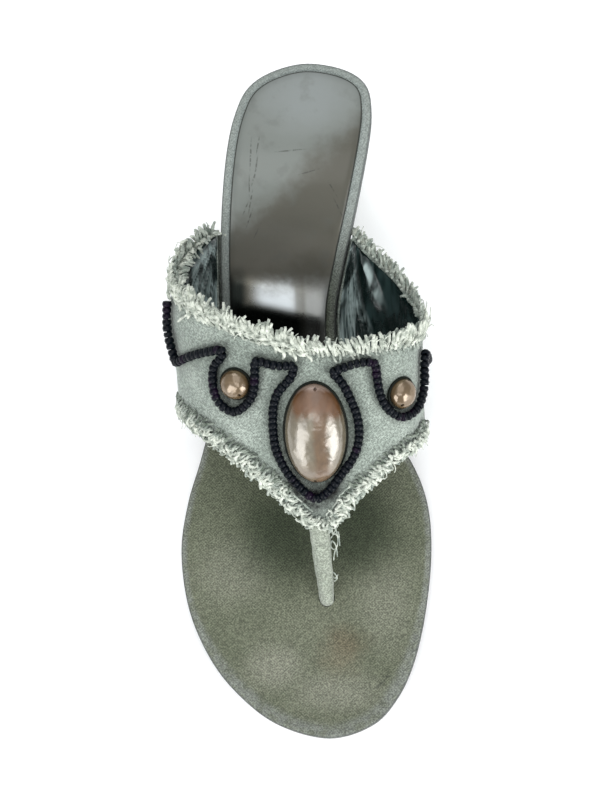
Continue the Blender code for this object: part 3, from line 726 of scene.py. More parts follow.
# ---- sole ----
def rim(sheet):
    """The border of rows and columns of points, as one closed line."""
    return np.concatenate([sheet[0, :-1], sheet[:-1, -1], sheet[-1, :0:-1], sheet[:0:-1, 0],
                           sheet[:1, 0]])


def sole_layer(name, layers, start=0.0, stop=LENGTH, rows=150, columns=36):
    """A layer of the sole: its top, wall and underside; each layer is an inset and a depth."""
    sheets = []
    for inset, depth in layers:
        back = inset - layers[-1][0] if start else 0.0
        flat = plan(inset, start + back, stop, rows, columns)
        sheets.append(np.concatenate([flat, level(flat[..., 1], depth)[..., None]], axis=2))
    run = np.interp(sheets[0][..., 1], PROFILE_Y, PROFILE_RUN)
    top = lay_grid(name, sheets[0], np.stack([sheets[0][..., 0], run], axis=2))
    wall = lay_grid(name + "_wall", np.array([rim(sheet) for sheet in sheets]))
    under = lay_grid(name + "_under", sheets[-1][:, ::-1])
    item = join([under, wall, top], name)
    mend(item)
    return item


def mark_rim(item):
    """Mark every point with how far inside the sole's outline it lies, 1 at the rim's reach."""
    lateral, medial = half_outlines(0.0)
    outline = np.concatenate([lateral[::3], medial[::-3]])
    spans = np.roll(outline, -1, axis=0) - outline
    places = np.zeros(len(item.data.vertices) * 3)
    item.data.vertices.foreach_get("co", places)
    flat = (places.reshape(-1, 3) / MM - ORIGIN)[:, :2]
    far = np.full(len(flat), RIM_REACH)
    for start, span in zip(outline, spans):
        share = np.clip(((flat - start) @ span) / max(span @ span, 1e-9), 0.0, 1.0)
        far = np.minimum(far, np.linalg.norm(flat - start - share[:, None] * span, axis=1))
    note(item, "inside", far / RIM_REACH)


def ledge_cutter(side):
    """The space under the board that the band's turned-in margin takes."""
    rings = []
    first, last = edge_y(side, FRONT) - LEDGE_SLACK, edge_y(side, COLLAR) + LEDGE_SLACK
    for y in np.linspace(first, last, 40):
        edge = side_x(CLEAR_OUTLINE[side], y)
        inner, outer = edge - side * (MARGIN + GAP), edge + side * WALL
        roof, below = level(y, INSOLE - MARGIN_WALL - GAP), level(y, INSOLE + 1.0)
        corners = [(outer, y, below), (outer, y, roof), (inner, y, roof), (inner, y, below)]
        rings.append(corners + corners[:1])
    item = lay_grid("ledge", np.array(rings))
    mend(item)
    return item


def cut(item, cutter):
    finish_with(item, "BOOLEAN", operation="DIFFERENCE", object=cutter, solver="EXACT")
    bpy.data.objects.remove(cutter)


def make_insole(cloth):
    upper_edge = [(WRAP_RADIUS * (1.0 - math.sin(turn)), WRAP_RADIUS * (1.0 - math.cos(turn)))
                  for turn in np.linspace(0.0, math.pi / 2.0, 5)]
    lower_edge = [(inset, INSOLE - depth) for inset, depth in reversed(upper_edge)]
    board = sole_layer("insole_board", upper_edge + lower_edge)
    for side in (-1, 1):
        cut(board, ledge_cutter(side))
    cut(board, post_tube("post_hole", grow=GAP, steps=24, sides=24))
    mark_rim(board)
    wear(board, cloth, "board_canvas", "insole")


def make_sock(hide):
    top = -GAP - SOCK
    sides = ((4.4, 0.0), (2.6, 0.06), (1.3, 0.19), (0.5, 0.36), (0.12, 0.55), (0.0, 0.80))
    item = sole_layer("sock_leather_sheet",
                      [(SOCK_INSET + inset, top + depth) for inset, depth in sides]
                      + [(SOCK_INSET, -GAP)], start=SOCK_START, rows=90)
    mark_rim(item)
    wear(item, hide, "sock_leather", "sock")


def make_outsole(rubber):
    top = INSOLE + GAP
    bottom = top + OUTSOLE
    item = sole_layer("outsole_rubber", (
        (OUTSOLE_INSET + 0.2, top),
        (OUTSOLE_INSET, top + 0.4),
        (OUTSOLE_INSET, bottom - 0.6),
        (OUTSOLE_INSET + 0.5, bottom),
    ), stop=BREAST - GAP, rows=110, columns=24)
    wear(item, rubber, "rubber", "outsole")


def heel_ring(share):
    """The heel's plan at a share of its height, 0 at the top lift and 1 at the seat."""
    lateral, medial = (stretch(side, BREAST, LENGTH, 30) for side in half_outlines(SEAT_INSET))
    breast = np.linspace(medial[0], lateral[0], 10)
    seat = np.concatenate([lateral, medial[-2::-1], breast[1:]])
    low, high = seat.min(axis=0), seat.max(axis=0)
    foot = (np.array([LIFT_X - LIFT_WIDTH / 2.0, LIFT_FRONT])
            + (seat - low) / (high - low) * np.array([LIFT_WIDTH, LIFT_LENGTH]))
    return seat, foot + (seat - foot) * share**HEEL_FLARE


def make_heel(cloth, rubber):
    bottom = LIFT_HEIGHT + GAP
    rings = []
    for share in np.linspace(0.0, 1.0, 40):
        seat, ring = heel_ring(share)
        rise = level(seat[:, 1], INSOLE + GAP) - bottom
        rings.append(np.column_stack([ring, bottom + rise * share]))
    rings = np.array(rings)
    girth = running_length(rings[len(rings) // 2])[None, :] * np.ones((len(rings), 1))
    item = lay_grid("heel_cover", rings, np.stack([girth, rings[..., 2]], axis=2))
    mend(item)
    round_edges(item, 0.9)
    wear(item, cloth, "heel_canvas", "heel")

    foot = heel_ring(0.0)[1]
    rings = np.array([np.column_stack([foot, np.full(len(foot), z)]) for z in (0.0, LIFT_HEIGHT)])
    lift = lay_grid("top_lift_rubber", rings)
    mend(lift)
    round_edges(lift, 0.5)
    wear(lift, rubber, "rubber", "top_lift")


# ---- upper ----
CREASES = (                # around, y, to around, y, reach, height: + a ridge, - a trough
    (-0.09, 82.0, -0.31, 101.0, 2.6, -0.40), (-0.17, 86.0, -0.40, 103.0, 2.2, 0.25),
    (0.08, 82.0, 0.34, 100.0, 2.6, -0.40), (0.26, 92.0, 0.42, 104.0, 2.2, 0.25),
    (-0.66, 121.0, -0.44, 137.0, 4.0, 0.30), (-0.50, 112.0, -0.58, 124.0, 4.0, -0.45),
    (-0.86, 126.0, -0.70, 152.0, 5.0, -0.60), (-0.92, 138.0, -0.84, 164.0, 3.5, 0.45),
    (0.55, 103.0, 0.63, 121.0, 3.0, -0.60), (0.62, 101.0, 0.70, 117.0, 2.2, 0.55),
    (0.80, 112.0, 0.86, 144.0, 4.5, -0.60), (0.90, 124.0, 0.94, 160.0, 3.5, 0.40),
    (0.06, 122.5, 0.24, 128.0, 2.4, 0.25), (-0.26, 128.0, -0.12, 122.0, 2.4, -0.30),
    (0.50, 131.0, 0.42, 118.0, 2.6, -0.30),
)
FLAT_HALF, FLAT_LENGTH = 72.0, 1.15    # half the band laid flat, and its length for each mm of y
CLOTH_HALF = 78.0                      # half the cloth before it was pulled over the last


def flat_places(around, y, half=FLAT_HALF):
    """Roughly the band laid flat, in millimetres."""
    return np.stack(np.broadcast_arrays(np.asarray(around) * half, np.asarray(y) * FLAT_LENGTH),
                    axis=-1)


def from_beads(place):
    """How far places on the band laid flat are from the string of beads."""
    route = np.concatenate([spline(stroke, per_span=8) for stroke in BEAD_ROUTE])
    return np.min([np.linalg.norm(place - spot, axis=-1)
                   for spot in flat_places(route[:, 0], route[:, 1])], axis=0)


def relief(around, y):
    """How far the canvas stands over its even face: creases, puckers under beads and slack."""
    place = flat_places(around, y)
    high = 0.10 * (np.sin(place[..., 0] / 5.1 + np.sin(place[..., 1] / 7.3) * 1.7)
                   * np.sin(place[..., 1] / 6.2 + 0.8))
    for around0, y0, around1, y1, reach, height in CREASES:
        start, end = flat_places(around0, y0), flat_places(around1, y1)
        share = ((place - start) @ (end - start)) / ((end - start) @ (end - start))
        nearest = start + np.clip(share, 0.0, 1.0)[..., None] * (end - start)
        bow = 1.4 * np.sin(share * math.pi)
        far = np.linalg.norm(place - nearest, axis=-1) + bow * 0.4
        high += height * np.exp(-(far / reach) ** 2)
    pinch = 0.7 + 0.3 * np.sin(place[..., 0] * 1.5) * np.sin(place[..., 1] * 1.3)
    under = np.exp(-(from_beads(place) / 2.6) ** 2)
    return high * (1.0 - under) - 0.35 * under * pinch


def margins(y, side):
    """The lasting margin's points, normals and wall: round the board's edge and in under it."""
    edge = side_x(CLEAR_OUTLINE[side], y)
    roof = level(y, INSOLE - MARGIN_WALL)
    pitch = np.arctan(np.interp(y, PROFILE_Y, PROFILE_RISE))
    corner = 0.5
    rows = (               # inwards, up, share outwards, wall
        (0.0, corner, 1.0, WALL), (corner * 0.3, corner * 0.3, 0.7, WALL),
        (corner, 0.0, 0.15, MARGIN_WALL), (MARGIN * 0.5, 0.0, 0.0, MARGIN_WALL),
        (MARGIN, 0.0, 0.0, MARGIN_WALL),
    )
    points, normals, walls = [], [], []
    for inwards, up, outwards, wall in rows:
        points.append(np.stack([edge - side * inwards, y, roof + up], axis=1))
        down = 1.0 - outwards
        normals.append(unit(np.stack([np.full_like(y, side * outwards), np.sin(pitch) * down,
                                      -np.cos(pitch) * down], axis=1)))
        walls.append(np.full_like(y, wall))
    return np.stack(points, axis=1), np.stack(normals, axis=1), np.stack(walls, axis=1)


MOST_SHADE_AND_GRIME = 1.22           # nearly black with painted shade and grime; at 0 the canvas is clean


def shade_and_grime_on_canvas(around, y):
    """Painted shade, with some grime, on the canvas beside beads and stones, at the point and by
    the front edge.
    """
    place = flat_places(around, y)
    point = np.clip((91.0 - y) / 8.0, 0.0, 1.0)
    shade_and_grime = (0.62 + 1.30 * point) * np.exp(-(from_beads(place) / (2.3 + 2.4 * point)) ** 2)
    side = np.interp(around, [-0.85, -0.62, -0.35, 0.05, 0.45], [0.20, 0.60, 0.90, 0.60, 0.50])
    shade_and_grime = np.maximum(shade_and_grime, side * np.exp(-((y - edge_y(around, FRONT)) / 5.5) ** 4))
    for _, at, middle, half_width, half_length, _, _ in STONES:
        across, along = np.moveaxis(place - flat_places(at, middle), -1, 0)
        beyond = (np.hypot(across / half_width, along / half_length) - 1.0) * half_width
        front = np.clip(0.55 - along / half_length * 0.5, 0.25, 1.0)
        shade_and_grime = np.maximum(shade_and_grime, front * np.exp(-(np.maximum(beyond, 0.0) / 2.6) ** 2))
    return np.minimum(shade_and_grime, MOST_SHADE_AND_GRIME)


def make_canvas(cloth):
    """The canvas of the band, with its margins turned in under the board."""
    arounds = np.linspace(-1.0, 1.0, 221)[None, :]
    shares = np.linspace(0.0, 1.0, 61)[:, None]
    front, collar = edge_y(arounds, FRONT), edge_y(arounds, COLLAR)
    y = front + (collar - front) * shares
    high = relief(arounds, y)
    points, normals = on_band(arounds, y, -WALL)
    walls = np.full(y.shape, WALL) + high
    lateral, medial = margins(y[:, 0], -1), margins(y[:, -1], 1)
    points, normals, walls = (
        np.concatenate([left[:, ::-1], middle, right], axis=1)
        for left, middle, right in zip(lateral, (points, normals, walls), medial))
    turned_in = CLOTH_HALF + 3.0 * np.arange(1.0, 6.0)
    across = np.concatenate([-turned_in[::-1], arounds[0] * CLOTH_HALF, turned_in])
    measure = flat_places(across[None, :], points[..., 1], half=1.0)
    outer = points + normals * walls[..., None]
    item = lay_sheet("band_canvas", outer, outer - normals * CANVAS, measure)
    note(item, "shade_and_grime", np.pad(shade_and_grime_on_canvas(arounds, y), ((0, 0), (5, 5))))
    wear(item, cloth, "canvas", "upper", crisp=60.0)


def make_lining(hide):
    """The leather lining: gathers fan out from the ends of the collar, then one soft fold."""
    arounds = 0.985 * np.sin(np.linspace(-1.25, 1.25, 241))[None, :] / math.sin(1.25)
    shares = np.linspace(0.0, 1.0, 161)[:, None]
    short, gathered_at = 0.9, 178.0
    front, collar = edge_y(arounds, FRONT) + short, edge_y(arounds, COLLAR) - short
    y = front + (collar - front) * shares
    aside = (1.0 - np.abs(arounds)) * FLAT_HALF
    ahead = np.maximum((gathered_at - y) * FLAT_LENGTH, 1.0)
    fan, reach = np.degrees(np.arctan2(aside, ahead)), np.hypot(aside, ahead)
    wander = np.sin(reach / 5.5 + fan * 0.30) + 0.6 * np.sin(reach / 2.6 - fan * 0.7)
    last = np.where(arounds < 0.0, 30.0, 17.0)
    gathered = np.clip((last - fan) / 4.0, 0.0, 1.0) * np.clip(reach / 12.0, 0.0, 1.0)
    uneven = fan + 0.5 * wander + 1.1 * np.sin(fan * 0.8 + 1.0) + 0.7 * np.sin(fan * 1.9)
    pleats = np.abs(np.sin(uneven * math.pi / 4.0)) ** 0.8
    fine = np.abs(np.sin((fan - 0.5 * wander) * math.pi / 1.5 + reach / 7.0))
    depth = gathered * (0.62 * pleats + 0.42 * fine)
    fold = np.exp(-((fan - 25.0 - 1.2 * np.sin(reach / 8.0)) / 2.7) ** 2)
    depth += np.where(arounds > 0.0, 2.4, 0.0) * fold * np.exp(-((reach - 21.0) / 12.5) ** 4)
    depth += 0.10 * (1.0 + np.sin(y / 4.5 + np.sin(aside / 6.0) * 2.0)) * np.clip(fan / 40.0, 0, 1)
    depth = depth * np.clip(np.minimum(shares, 1.0 - shares) / 0.03, 0.0, 1.0)
    outer, normals = on_band(arounds, y, -CANVAS - 0.15)
    item = lay_sheet("band_lining", outer - normals * depth[..., None] * 0.8,
                     outer - normals * (LINING + depth[..., None]),
                     flat_places(arounds, y, half=CLOTH_HALF))
    # How far the lining stands proud, which carries its painted highlight.
    tops = np.where(arounds < 0.0, 0.02, 0.15)
    note(item, "painted_ridge_highlight", np.clip((depth - tops) / 1.2, 0.0, 1.0))
    wear(item, hide, "canvas", crisp=60.0)


def post_tube(name, grow=0.0, steps=72, sides=40):
    """The toe post, or with grow the hole that it passes through."""
    table = [(place, *row) for place, row in enumerate(POST)]
    at = np.linspace(0.0, len(POST) - 1.0, steps)
    y, x, z, width, depth = (smooth(table, at, column) for column in range(1, 6))
    path = np.column_stack([x, y, z])
    forward = unit(np.gradient(path, axis=0))
    if grow:
        path[-1] += forward[-1] * 2.5
    wide = np.array([1.0, 0.0, 0.0])
    deep = unit(np.cross(forward, wide))
    turns = np.linspace(0.0, 2.0 * math.pi, sides + 1)
    lap, uneven = np.exp(-((turns - 0.75) / 0.22) ** 2), 1.0 if not grow else 0.0
    rings = []
    for i in range(steps):
        knots = 0.020 * np.sin(3.0 * turns + i * 0.31) + 0.022 * np.sin(i * 0.83 + 2.0 * turns)
        full = 1.0 + uneven * (knots + 0.09 * lap * (1.0 + 0.5 * math.sin(i * 0.9)))
        rings.append(path[i] + np.outer(np.cos(turns) * full, wide * (width[i] / 2.0 + grow))
                     + np.outer(np.sin(turns) * full, deep[i] * (depth[i] / 2.0 + grow)))
    run = running_length(path)[:, None] * np.ones((1, sides + 1))
    girth = turns[None, :] * 3.2 * np.ones((steps, 1))
    item = lay_grid(name, np.array(rings), np.stack([girth, run], axis=2))
    mend(item)
    return item


# ---- frayed edges ----
def edge_stations(column, first, last, pitch, rng):
    """Places along a free edge, about a pitch apart: around, point, out, along and normal."""
    arounds = np.linspace(first, last, 400)
    line = on_band(arounds, edge_y(arounds, column))[0]
    run = running_length(line)
    places = np.arange(pitch / 2.0, run[-1], pitch)
    places = places + np.array([rng.uniform(-0.35, 0.35) * pitch for _ in places])
    arounds = np.interp(places, run, arounds)
    here, normal = on_band(arounds, edge_y(arounds, column))
    there = on_band(arounds + 0.01, edge_y(arounds + 0.01, column))[0]
    back = on_band(arounds - 0.01, edge_y(arounds - 0.01, column))[0]
    along = unit(there - back)
    out = unit(np.cross(normal, along)) * (1.0 if column == COLLAR else -1.0)
    return zip(arounds, here, out, along, normal)


def yarn_line(start, out, along, normal, length, lean, bend, rise, fall):
    """A thread from the cloth: lean and bend turn it sideways, rise and fall tip it off it."""
    t = np.linspace(0.0, 1.0, 9)[:, None]
    turn = np.radians(lean + bend * t**1.5)
    climb = np.radians(rise + (fall - rise) * t)
    heading = (np.cos(climb) * (np.cos(turn) * out + np.sin(turn) * along) + np.sin(climb) * normal)
    steps = heading[:-1] * (length / (len(t) - 1))
    return start + np.concatenate([[np.zeros(3)], np.cumsum(steps, axis=0)])


def new_curve(name, dimensions):
    """An empty curve in the scene, and the object that holds it."""
    curve = bpy.data.curves.new(name, "CURVE")
    curve.dimensions = dimensions
    item = bpy.data.objects.new(name, curve)
    bpy.context.scene.collection.objects.link(item)
    return item, curve


def yarn_section():
    """Cross section of a two-ply yarn, one millimetre across."""
    item, curve = new_curve("yarn_section", "2D")
    ring = curve.splines.new("POLY")
    ring.points.add(5)
    for k, point in enumerate(ring.points):
        turn = math.pi * k / 3.0
        reach = 0.5 * MM * (1.0 + 0.16 * math.cos(2 * turn)) / 1.08
        point.co = (reach * math.cos(turn), reach * math.sin(turn), 0.0, 1.0)
    ring.use_cyclic_u = True
    return item


YARN_TWIST = 38.0          # degrees from one point of a yarn to the next


def spin_yarns(name, lines, thickness):
    """Twisted yarns along lines of points, as one mesh. thickness is one number or one each."""
    item, curve = new_curve(name, "3D")
    curve.bevel_mode = "OBJECT"
    curve.bevel_object = section = yarn_section()
    curve.use_fill_caps = True
    thick = np.broadcast_to(thickness, len(lines))
    for line, wide in zip(lines, thick):
        strand = curve.splines.new("POLY")
        strand.points.add(len(line) - 1)
        for k, (point, place) in enumerate(zip(strand.points, to_frame(line))):
            point.co = (*place, 1.0)
            point.tilt = math.radians(YARN_TWIST * k)
            point.radius = wide * (0.70 if k == 0 else 0.85 if k == len(line) - 1 else 1.0)
    choose(item)
    bpy.ops.object.convert(target="MESH")
    item = bpy.context.object
    bpy.data.objects.remove(section)
    mend(item, 0.001)
    return item


COLLAR_LEAN = (            # around, degrees towards the big-toe side
    (-1.00, 0.0), (-0.75, 10.0), (-0.62, 24.0), (-0.50, -30.0), (-0.40, -58.0),
    (-0.15, -50.0), (-0.02, -28.0), (0.14, -24.0), (0.26, 6.0), (0.45, 20.0),
    (0.70, 40.0), (1.00, 50.0),
)
EVEN_LEAN = ((-1.0, 0.0), (1.0, 0.0))
FRONT_LEAN = ((-1.0, -25.0), (-0.1, -30.0), (0.1, 30.0), (1.0, 25.0))

FRAY = (
    # edge, first, last, pitch, inset, lift, length,
    # lean, turned, spread, bend, rise, fall, thick, kind
    # collar: two rows of bristles, then what lies back over the cloth
    (COLLAR, -0.97, 0.97, 1.25, 1.3, 0.40, 5.9, COLLAR_LEAN, 0, 14, 34, 20, -14, 1.42, "pale"),
    (COLLAR, -0.97, 0.97, 1.25, 0.6, -0.6, 5.6, COLLAR_LEAN, -10, 26, 60, 4, 4, 1.20, "dull"),
    (COLLAR, -0.97, 0.97, 2.10, 1.7, 0.85, 4.4, COLLAR_LEAN, 12, 30, 90, 26, -30, 1.20, "pale"),
    (COLLAR, -0.66, -0.03, 1.50, 0.6, 0.90, 5.0, COLLAR_LEAN, -6, 34, 90, 30, -20, 1.30, "pale"),
    (COLLAR, -0.58, 0.02, 1.40, 0.6, 0.10, 5.8, EVEN_LEAN, -12, 40, 70, 12, -6, 1.30, "pale"),
    (COLLAR, 0.84, 1.00, 1.20, 0.6, 0.20, 5.8, COLLAR_LEAN, 0, 36, 90, 14, -6, 1.20, "pale"),
    (COLLAR, -1.00, -0.93, 1.00, 0.6, 0.20, 5.0, EVEN_LEAN, 10, 40, 90, 14, -6, 1.10, "dull"),
    (COLLAR, -0.64, -0.03, 1.60, 1.2, 1.00, 4.0, EVEN_LEAN, 118, 24, 70, 26, -34, 1.24, "pale"),
    (COLLAR, -0.60, -0.10, 2.40, 1.6, 1.20, 4.0, EVEN_LEAN, 60, 60, 170, 34, -44, 1.15, "pale"),
    (COLLAR, -0.03, 0.60, 2.60, 1.2, 0.60, 2.8, EVEN_LEAN, 160, 30, 50, 12, -20, 0.95, "dull"),
    (COLLAR, 0.60, 0.97, 1.30, 2.4, 0.50, 5.0, EVEN_LEAN, 15, 50, 120, 24, -25, 1.10, "pale"),
    (COLLAR, -0.97, -0.62, 1.30, 2.8, 0.50, 4.4, EVEN_LEAN, -15, 50, 120, 24, -25, 1.05, "pale"),
    (COLLAR, 0.56, 0.98, 1.60, 0.3, -0.9, 3.0, EVEN_LEAN, 20, 60, 120, -20, -70, 1.05, "dull"),
    (COLLAR, -0.98, -0.58, 1.30, 0.6, -0.9, 4.8, EVEN_LEAN, -20, 60, 140, -10, -80, 1.05, "pale"),
    (COLLAR, -0.98, -0.62, 1.40, 0.2, -1.6, 5.6, EVEN_LEAN, 10, 60, 150, -24, -90, 0.95, "dull"),
    (COLLAR, -0.97, 0.97, 3.00, 1.0, 0.60, 6.4, COLLAR_LEAN, 0, 60, 120, 30, 0, 0.36, "pale"),
    # front: roots well inside the edge in a dark yarn that paints their shade, wraps along it, an
    # under row, then curls
    (FRONT, -0.86, -0.17, 1.20, 4.7, 0.15, 4.4, FRONT_LEAN, 0, 30, 70, 16, -16, 1.10, "shaded"),
    (FRONT, -0.86, -0.12, 1.90, 3.2, 0.45, 4.0, FRONT_LEAN, 10, 34, 120, 22, -26, 1.05, "dull"),
    (FRONT, 0.17, 0.86, 1.40, 4.0, 0.15, 4.0, FRONT_LEAN, 0, 30, 70, 16, -16, 1.05, "shaded"),
    (FRONT, -0.97, 0.97, 1.50, 2.2, 0.25, 3.6, FRONT_LEAN, 0, 16, -30, 16, -14, 1.05, "dull"),
    (FRONT, -0.97, 0.97, 1.30, 0.2, -0.5, 4.4, EVEN_LEAN, 0, 34, 90, -4, -10, 1.15, "dull"),
    (FRONT, -0.97, 0.97, 1.55, 0.8, 0.30, 4.7, FRONT_LEAN, 0, 34, 190, 16, -16, 1.20, "pale"),
    (FRONT, -0.62, 0.62, 1.90, 0.1, 0.00, 4.6, FRONT_LEAN, 10, 44, 220, 10, -20, 1.15, "dull"),
    (FRONT, -0.90, 0.90, 2.20, 1.5, 0.60, 4.0, FRONT_LEAN, 20, 40, 220, 34, -30, 1.15, "pale"),
    (FRONT, -0.10, 0.10, 1.30, 1.0, 0.80, 4.4, EVEN_LEAN, 0, 40, 200, 34, -40, 1.22, "pale"),
    (FRONT, -0.97, 0.97, 3.20, 0.8, 0.40, 5.4, EVEN_LEAN, 0, 60, 120, 20, -10, 0.36, "pale"),
)

# Threads that run along an edge just inside it.
RUNS = (
    # edge, first, last, inset, lift, thick, kind
    (FRONT, -0.24, -0.06, 3.4, 0.35, 0.80, "dull"),
    (FRONT, 0.05, 0.24, 3.2, 0.35, 0.80, "dull"),
    (FRONT, 0.50, 0.84, 3.0, 0.35, 0.80, "dull"),
    (COLLAR, -0.60, -0.12, 3.2, 0.35, 0.85, "dull"),
)

# Long loose threads: on the band as around, y and lift; on the post as x, y and z.
STRAYS = (
    ("band", 0.95, ((-0.39, 139.0, 0.9), (-0.42, 141.0, 1.7), (-0.46, 141.6, 1.6),
                    (-0.50, 141.0, 1.2), (-0.54, 140.0, 1.1))),
    ("band", 0.90, ((0.60, 103.6, 0.9), (0.64, 106.4, 1.6), (0.69, 108.6, 1.9),
                    (0.73, 109.4, 1.4), (0.76, 108.0, 0.9))),
    ("post", 0.50, ((8.6, 77.5, 32.5), (10.2, 74.0, 31.8), (11.8, 71.0, 29.5), (12.4, 67.5, 26.5),
                    (11.4, 65.0, 24.5), (9.9, 65.6, 24.8), (10.2, 67.6, 27.0), (11.6, 66.0, 26.0),
                    (12.0, 62.5, 23.0))),
    ("post", 0.46, ((9.0, 76.5, 32.0), (10.8, 73.4, 31.2), (10.6, 70.4, 29.4), (12.6, 68.6, 27.6),
                    (11.0, 63.6, 23.6), (10.6, 61.4, 21.8))),
    ("post", 0.50, ((9.4, 58.2, 18.2), (10.9, 57.0, 18.2), (11.6, 55.6, 17.4), (10.6, 54.6, 16.2))),
    ("post", 0.44, ((9.6, 56.8, 16.8), (10.9, 55.6, 17.4), (12.0, 56.8, 18.2))),
    ("post", 0.44, ((9.2, 75.0, 31.5), (11.2, 74.6, 31.0), (12.2, 72.4, 29.8), (11.0, 70.0, 28.6),
                    (9.9, 68.4, 27.6))),
    ("post", 0.42, ((9.4, 72.0, 29.6), (10.9, 69.6, 28.6), (12.6, 70.4, 28.8), (13.0, 66.0, 26.2))),
)


def sway(rng, places, reach, step=0.11):
    """A slow wander along an edge, so that neighbouring threads lean alike."""
    knots = np.arange(-1.2, 1.3, step)
    values = [rng.uniform(-reach, reach) for _ in knots]
    return np.interp(places, knots, values)


def make_fringes(finishes):
    rng = random.Random(11)
    lines = {kind: [] for kind in finishes}
    thicks = {kind: [] for kind in finishes}
    for (edge, first, last, pitch, inset, lift, length, leaning, turned, spread, bend, rise, fall,
         thick, kind) in FRAY:
        stations = list(edge_stations(edge, first, last, pitch, rng))
        arounds = np.array([station[0] for station in stations])
        wander = sway(rng, arounds, spread * 0.8) + sway(rng, arounds, 20.0, 0.045)
        longer = 1.0 + sway(rng, arounds, 0.14)
        for (around, here, out, along, normal), slow, long in zip(stations, wander, longer):
            if edge == FRONT:
                long *= 1.0 - 0.8 * max(abs(around) - 0.62, 0.0)
            start = here - out * inset * rng.uniform(0.8, 1.15) + normal * lift
            lean = (float(smooth(leaning, around)) + turned + slow
                    + rng.uniform(-spread, spread) * 0.6)
            side = rng.choice((-1.0, 1.0))
            lines[kind].append(yarn_line(
                start, out, along, normal, length * long * rng.uniform(0.85, 1.12), lean,
                side * bend * rng.uniform(0.3, 1.0), rise + rng.uniform(-8.0, 8.0),
                fall + rng.uniform(-8.0, 8.0)))
            thicks[kind].append(thick * rng.uniform(0.85, 1.12))
    for edge, first, last, inset, lift, thick, kind in RUNS:
        stations = list(edge_stations(edge, first, last, 1.0, rng))
        wander = sway(rng, [station[0] for station in stations], 0.6, 0.05)
        lines[kind].append(np.array([here - out * (inset + slow + rng.uniform(-0.2, 0.2))
                                     + normal * (lift + rng.uniform(-0.25, 0.15))
                                     for (_, here, out, _, normal), slow in zip(stations, wander)]))
        thicks[kind].append(thick)
    for where, thick, places in STRAYS:
        kind, line = "dull", spline(places, per_span=5)
        if where == "band":
            kind, line = "pale", on_band(line[:, 0], line[:, 1], line[:, 2])[0]
        lines[kind].append(line)
        thicks[kind].append(thick)
    for kind, finish in finishes.items():
        wear(spin_yarns("frayed_edges_" + kind, lines[kind], thicks[kind]), finish, "canvas",
             crisp=70.0)


# ---- ornaments ----
RIM_HEIGHT = 1.3


def dome_rise(share, dome):
    return RIM_HEIGHT + dome * (1.0 - np.clip(share, 0.0, 1.0) ** 2.2) ** 0.55


def make_stone(name, around, y, half_width, half_length, dome, holes, finish, shade_edging):
    """A domed stone with its sew holes, on a wall that follows the cloth, and a near black ring at
    its foot, partly its dark rim and partly painted shadow.
    """
    seat, up = on_band(around, y)
    across = unit(np.array([1.0, 0.0, 0.0]) - up * up[0])
    lengthways = np.cross(up, across)
    turns = np.linspace(0.0, 2.0 * math.pi, 81)
    patch, _ = on_band(around + np.linspace(-0.22, 0.22, 121)[None, :],
                       y + np.linspace(-24.0, 24.0, 241)[:, None])
    patch = (patch.reshape(-1, 3) - seat) @ np.stack([across, lengthways, up], axis=1)

    def ring(share, rise, wider=0.0):
        return (seat + np.outer((half_width + wider) * share * np.cos(turns), across)
                + np.outer((half_length + wider) * share * np.sin(turns), lengthways)
                + up * np.asarray(rise).reshape(-1, 1))

    foot_x, foot_y = half_width * np.cos(turns), half_length * np.sin(turns)
    nearest = np.argmin((patch[:, 0] - foot_x[:, None]) ** 2 + (patch[:, 1] - foot_y[:, None]) ** 2,
                        axis=1)
    cloth = patch[nearest, 2]
    shares = np.sin(np.linspace(math.pi / 2.0, 0.0, 24)[1:])
    rings = [ring(0.0, cloth.mean() + 0.3), ring(0.5, cloth * 0.5 + 0.3), ring(0.985, cloth + 0.3),
             ring(0.998, cloth + 0.5), ring(1.0, RIM_HEIGHT - 0.3 + cloth * 0.1)]
    rings += [ring(share, dome_rise(share, dome)) for share in shares]
    item = lay_grid("stone_" + name, np.array(rings))
    mend(item)
    for part_across, part_along in holes:
        rise = dome_rise(math.hypot(part_across, part_along), dome)
        centre = (seat + across * half_width * part_across + lengthways * half_length * part_along
                  + up * rise)
        drill = add(bpy.ops.mesh.primitive_cylinder_add, vertices=20,
                    radius=SEW_HOLE * MM, depth=3.4 * MM)
        turn = Vector(up).to_track_quat("Z", "Y").to_matrix().to_4x4()
        drill.data.transform(Matrix.Translation(Vector(to_frame(centre))) @ turn)
        cut(item, drill)
    wear(item, finish, "copper_pearl", "cabochon_" + name, crisp=35.0)

    # A near black ring round the stone's foot: partly its dark rim, partly painted shadow in the
    # gap to the cloth.
    band = [ring(1.0, cloth + 0.10, 0.10), ring(1.0, cloth + 0.10, 0.70),
            ring(1.0, cloth + 0.50, 0.76), ring(1.0, cloth + 0.85, 0.62),
            ring(1.0, cloth + 1.00, 0.10), ring(1.0, cloth + 0.10, 0.10)]
    edge = lay_grid("edging_" + name, np.array(band))
    mend(edge)
    wear(edge, shade_edging, "copper_pearl", crisp=50.0)


def bead_places():
    """Places along the string of beads, with their directions along it."""
    route = []
    for stroke in BEAD_ROUTE:
        route.extend(spline(stroke, per_span=14)[0 if not route else 1:])
    route = np.array(route)
    line = np.concatenate(on_band(route[:, 0], route[:, 1], BEAD_RADIUS + GAP), axis=1)
    path = evenly(line, int(running_length(line[:, :3])[-1] / BEAD_PITCH))[:, :3]
    path[1:-1] = (path[:-2] + 4.0 * path[1:-1] + path[2:]) / 6.0
    return path, unit(np.gradient(path, axis=0))


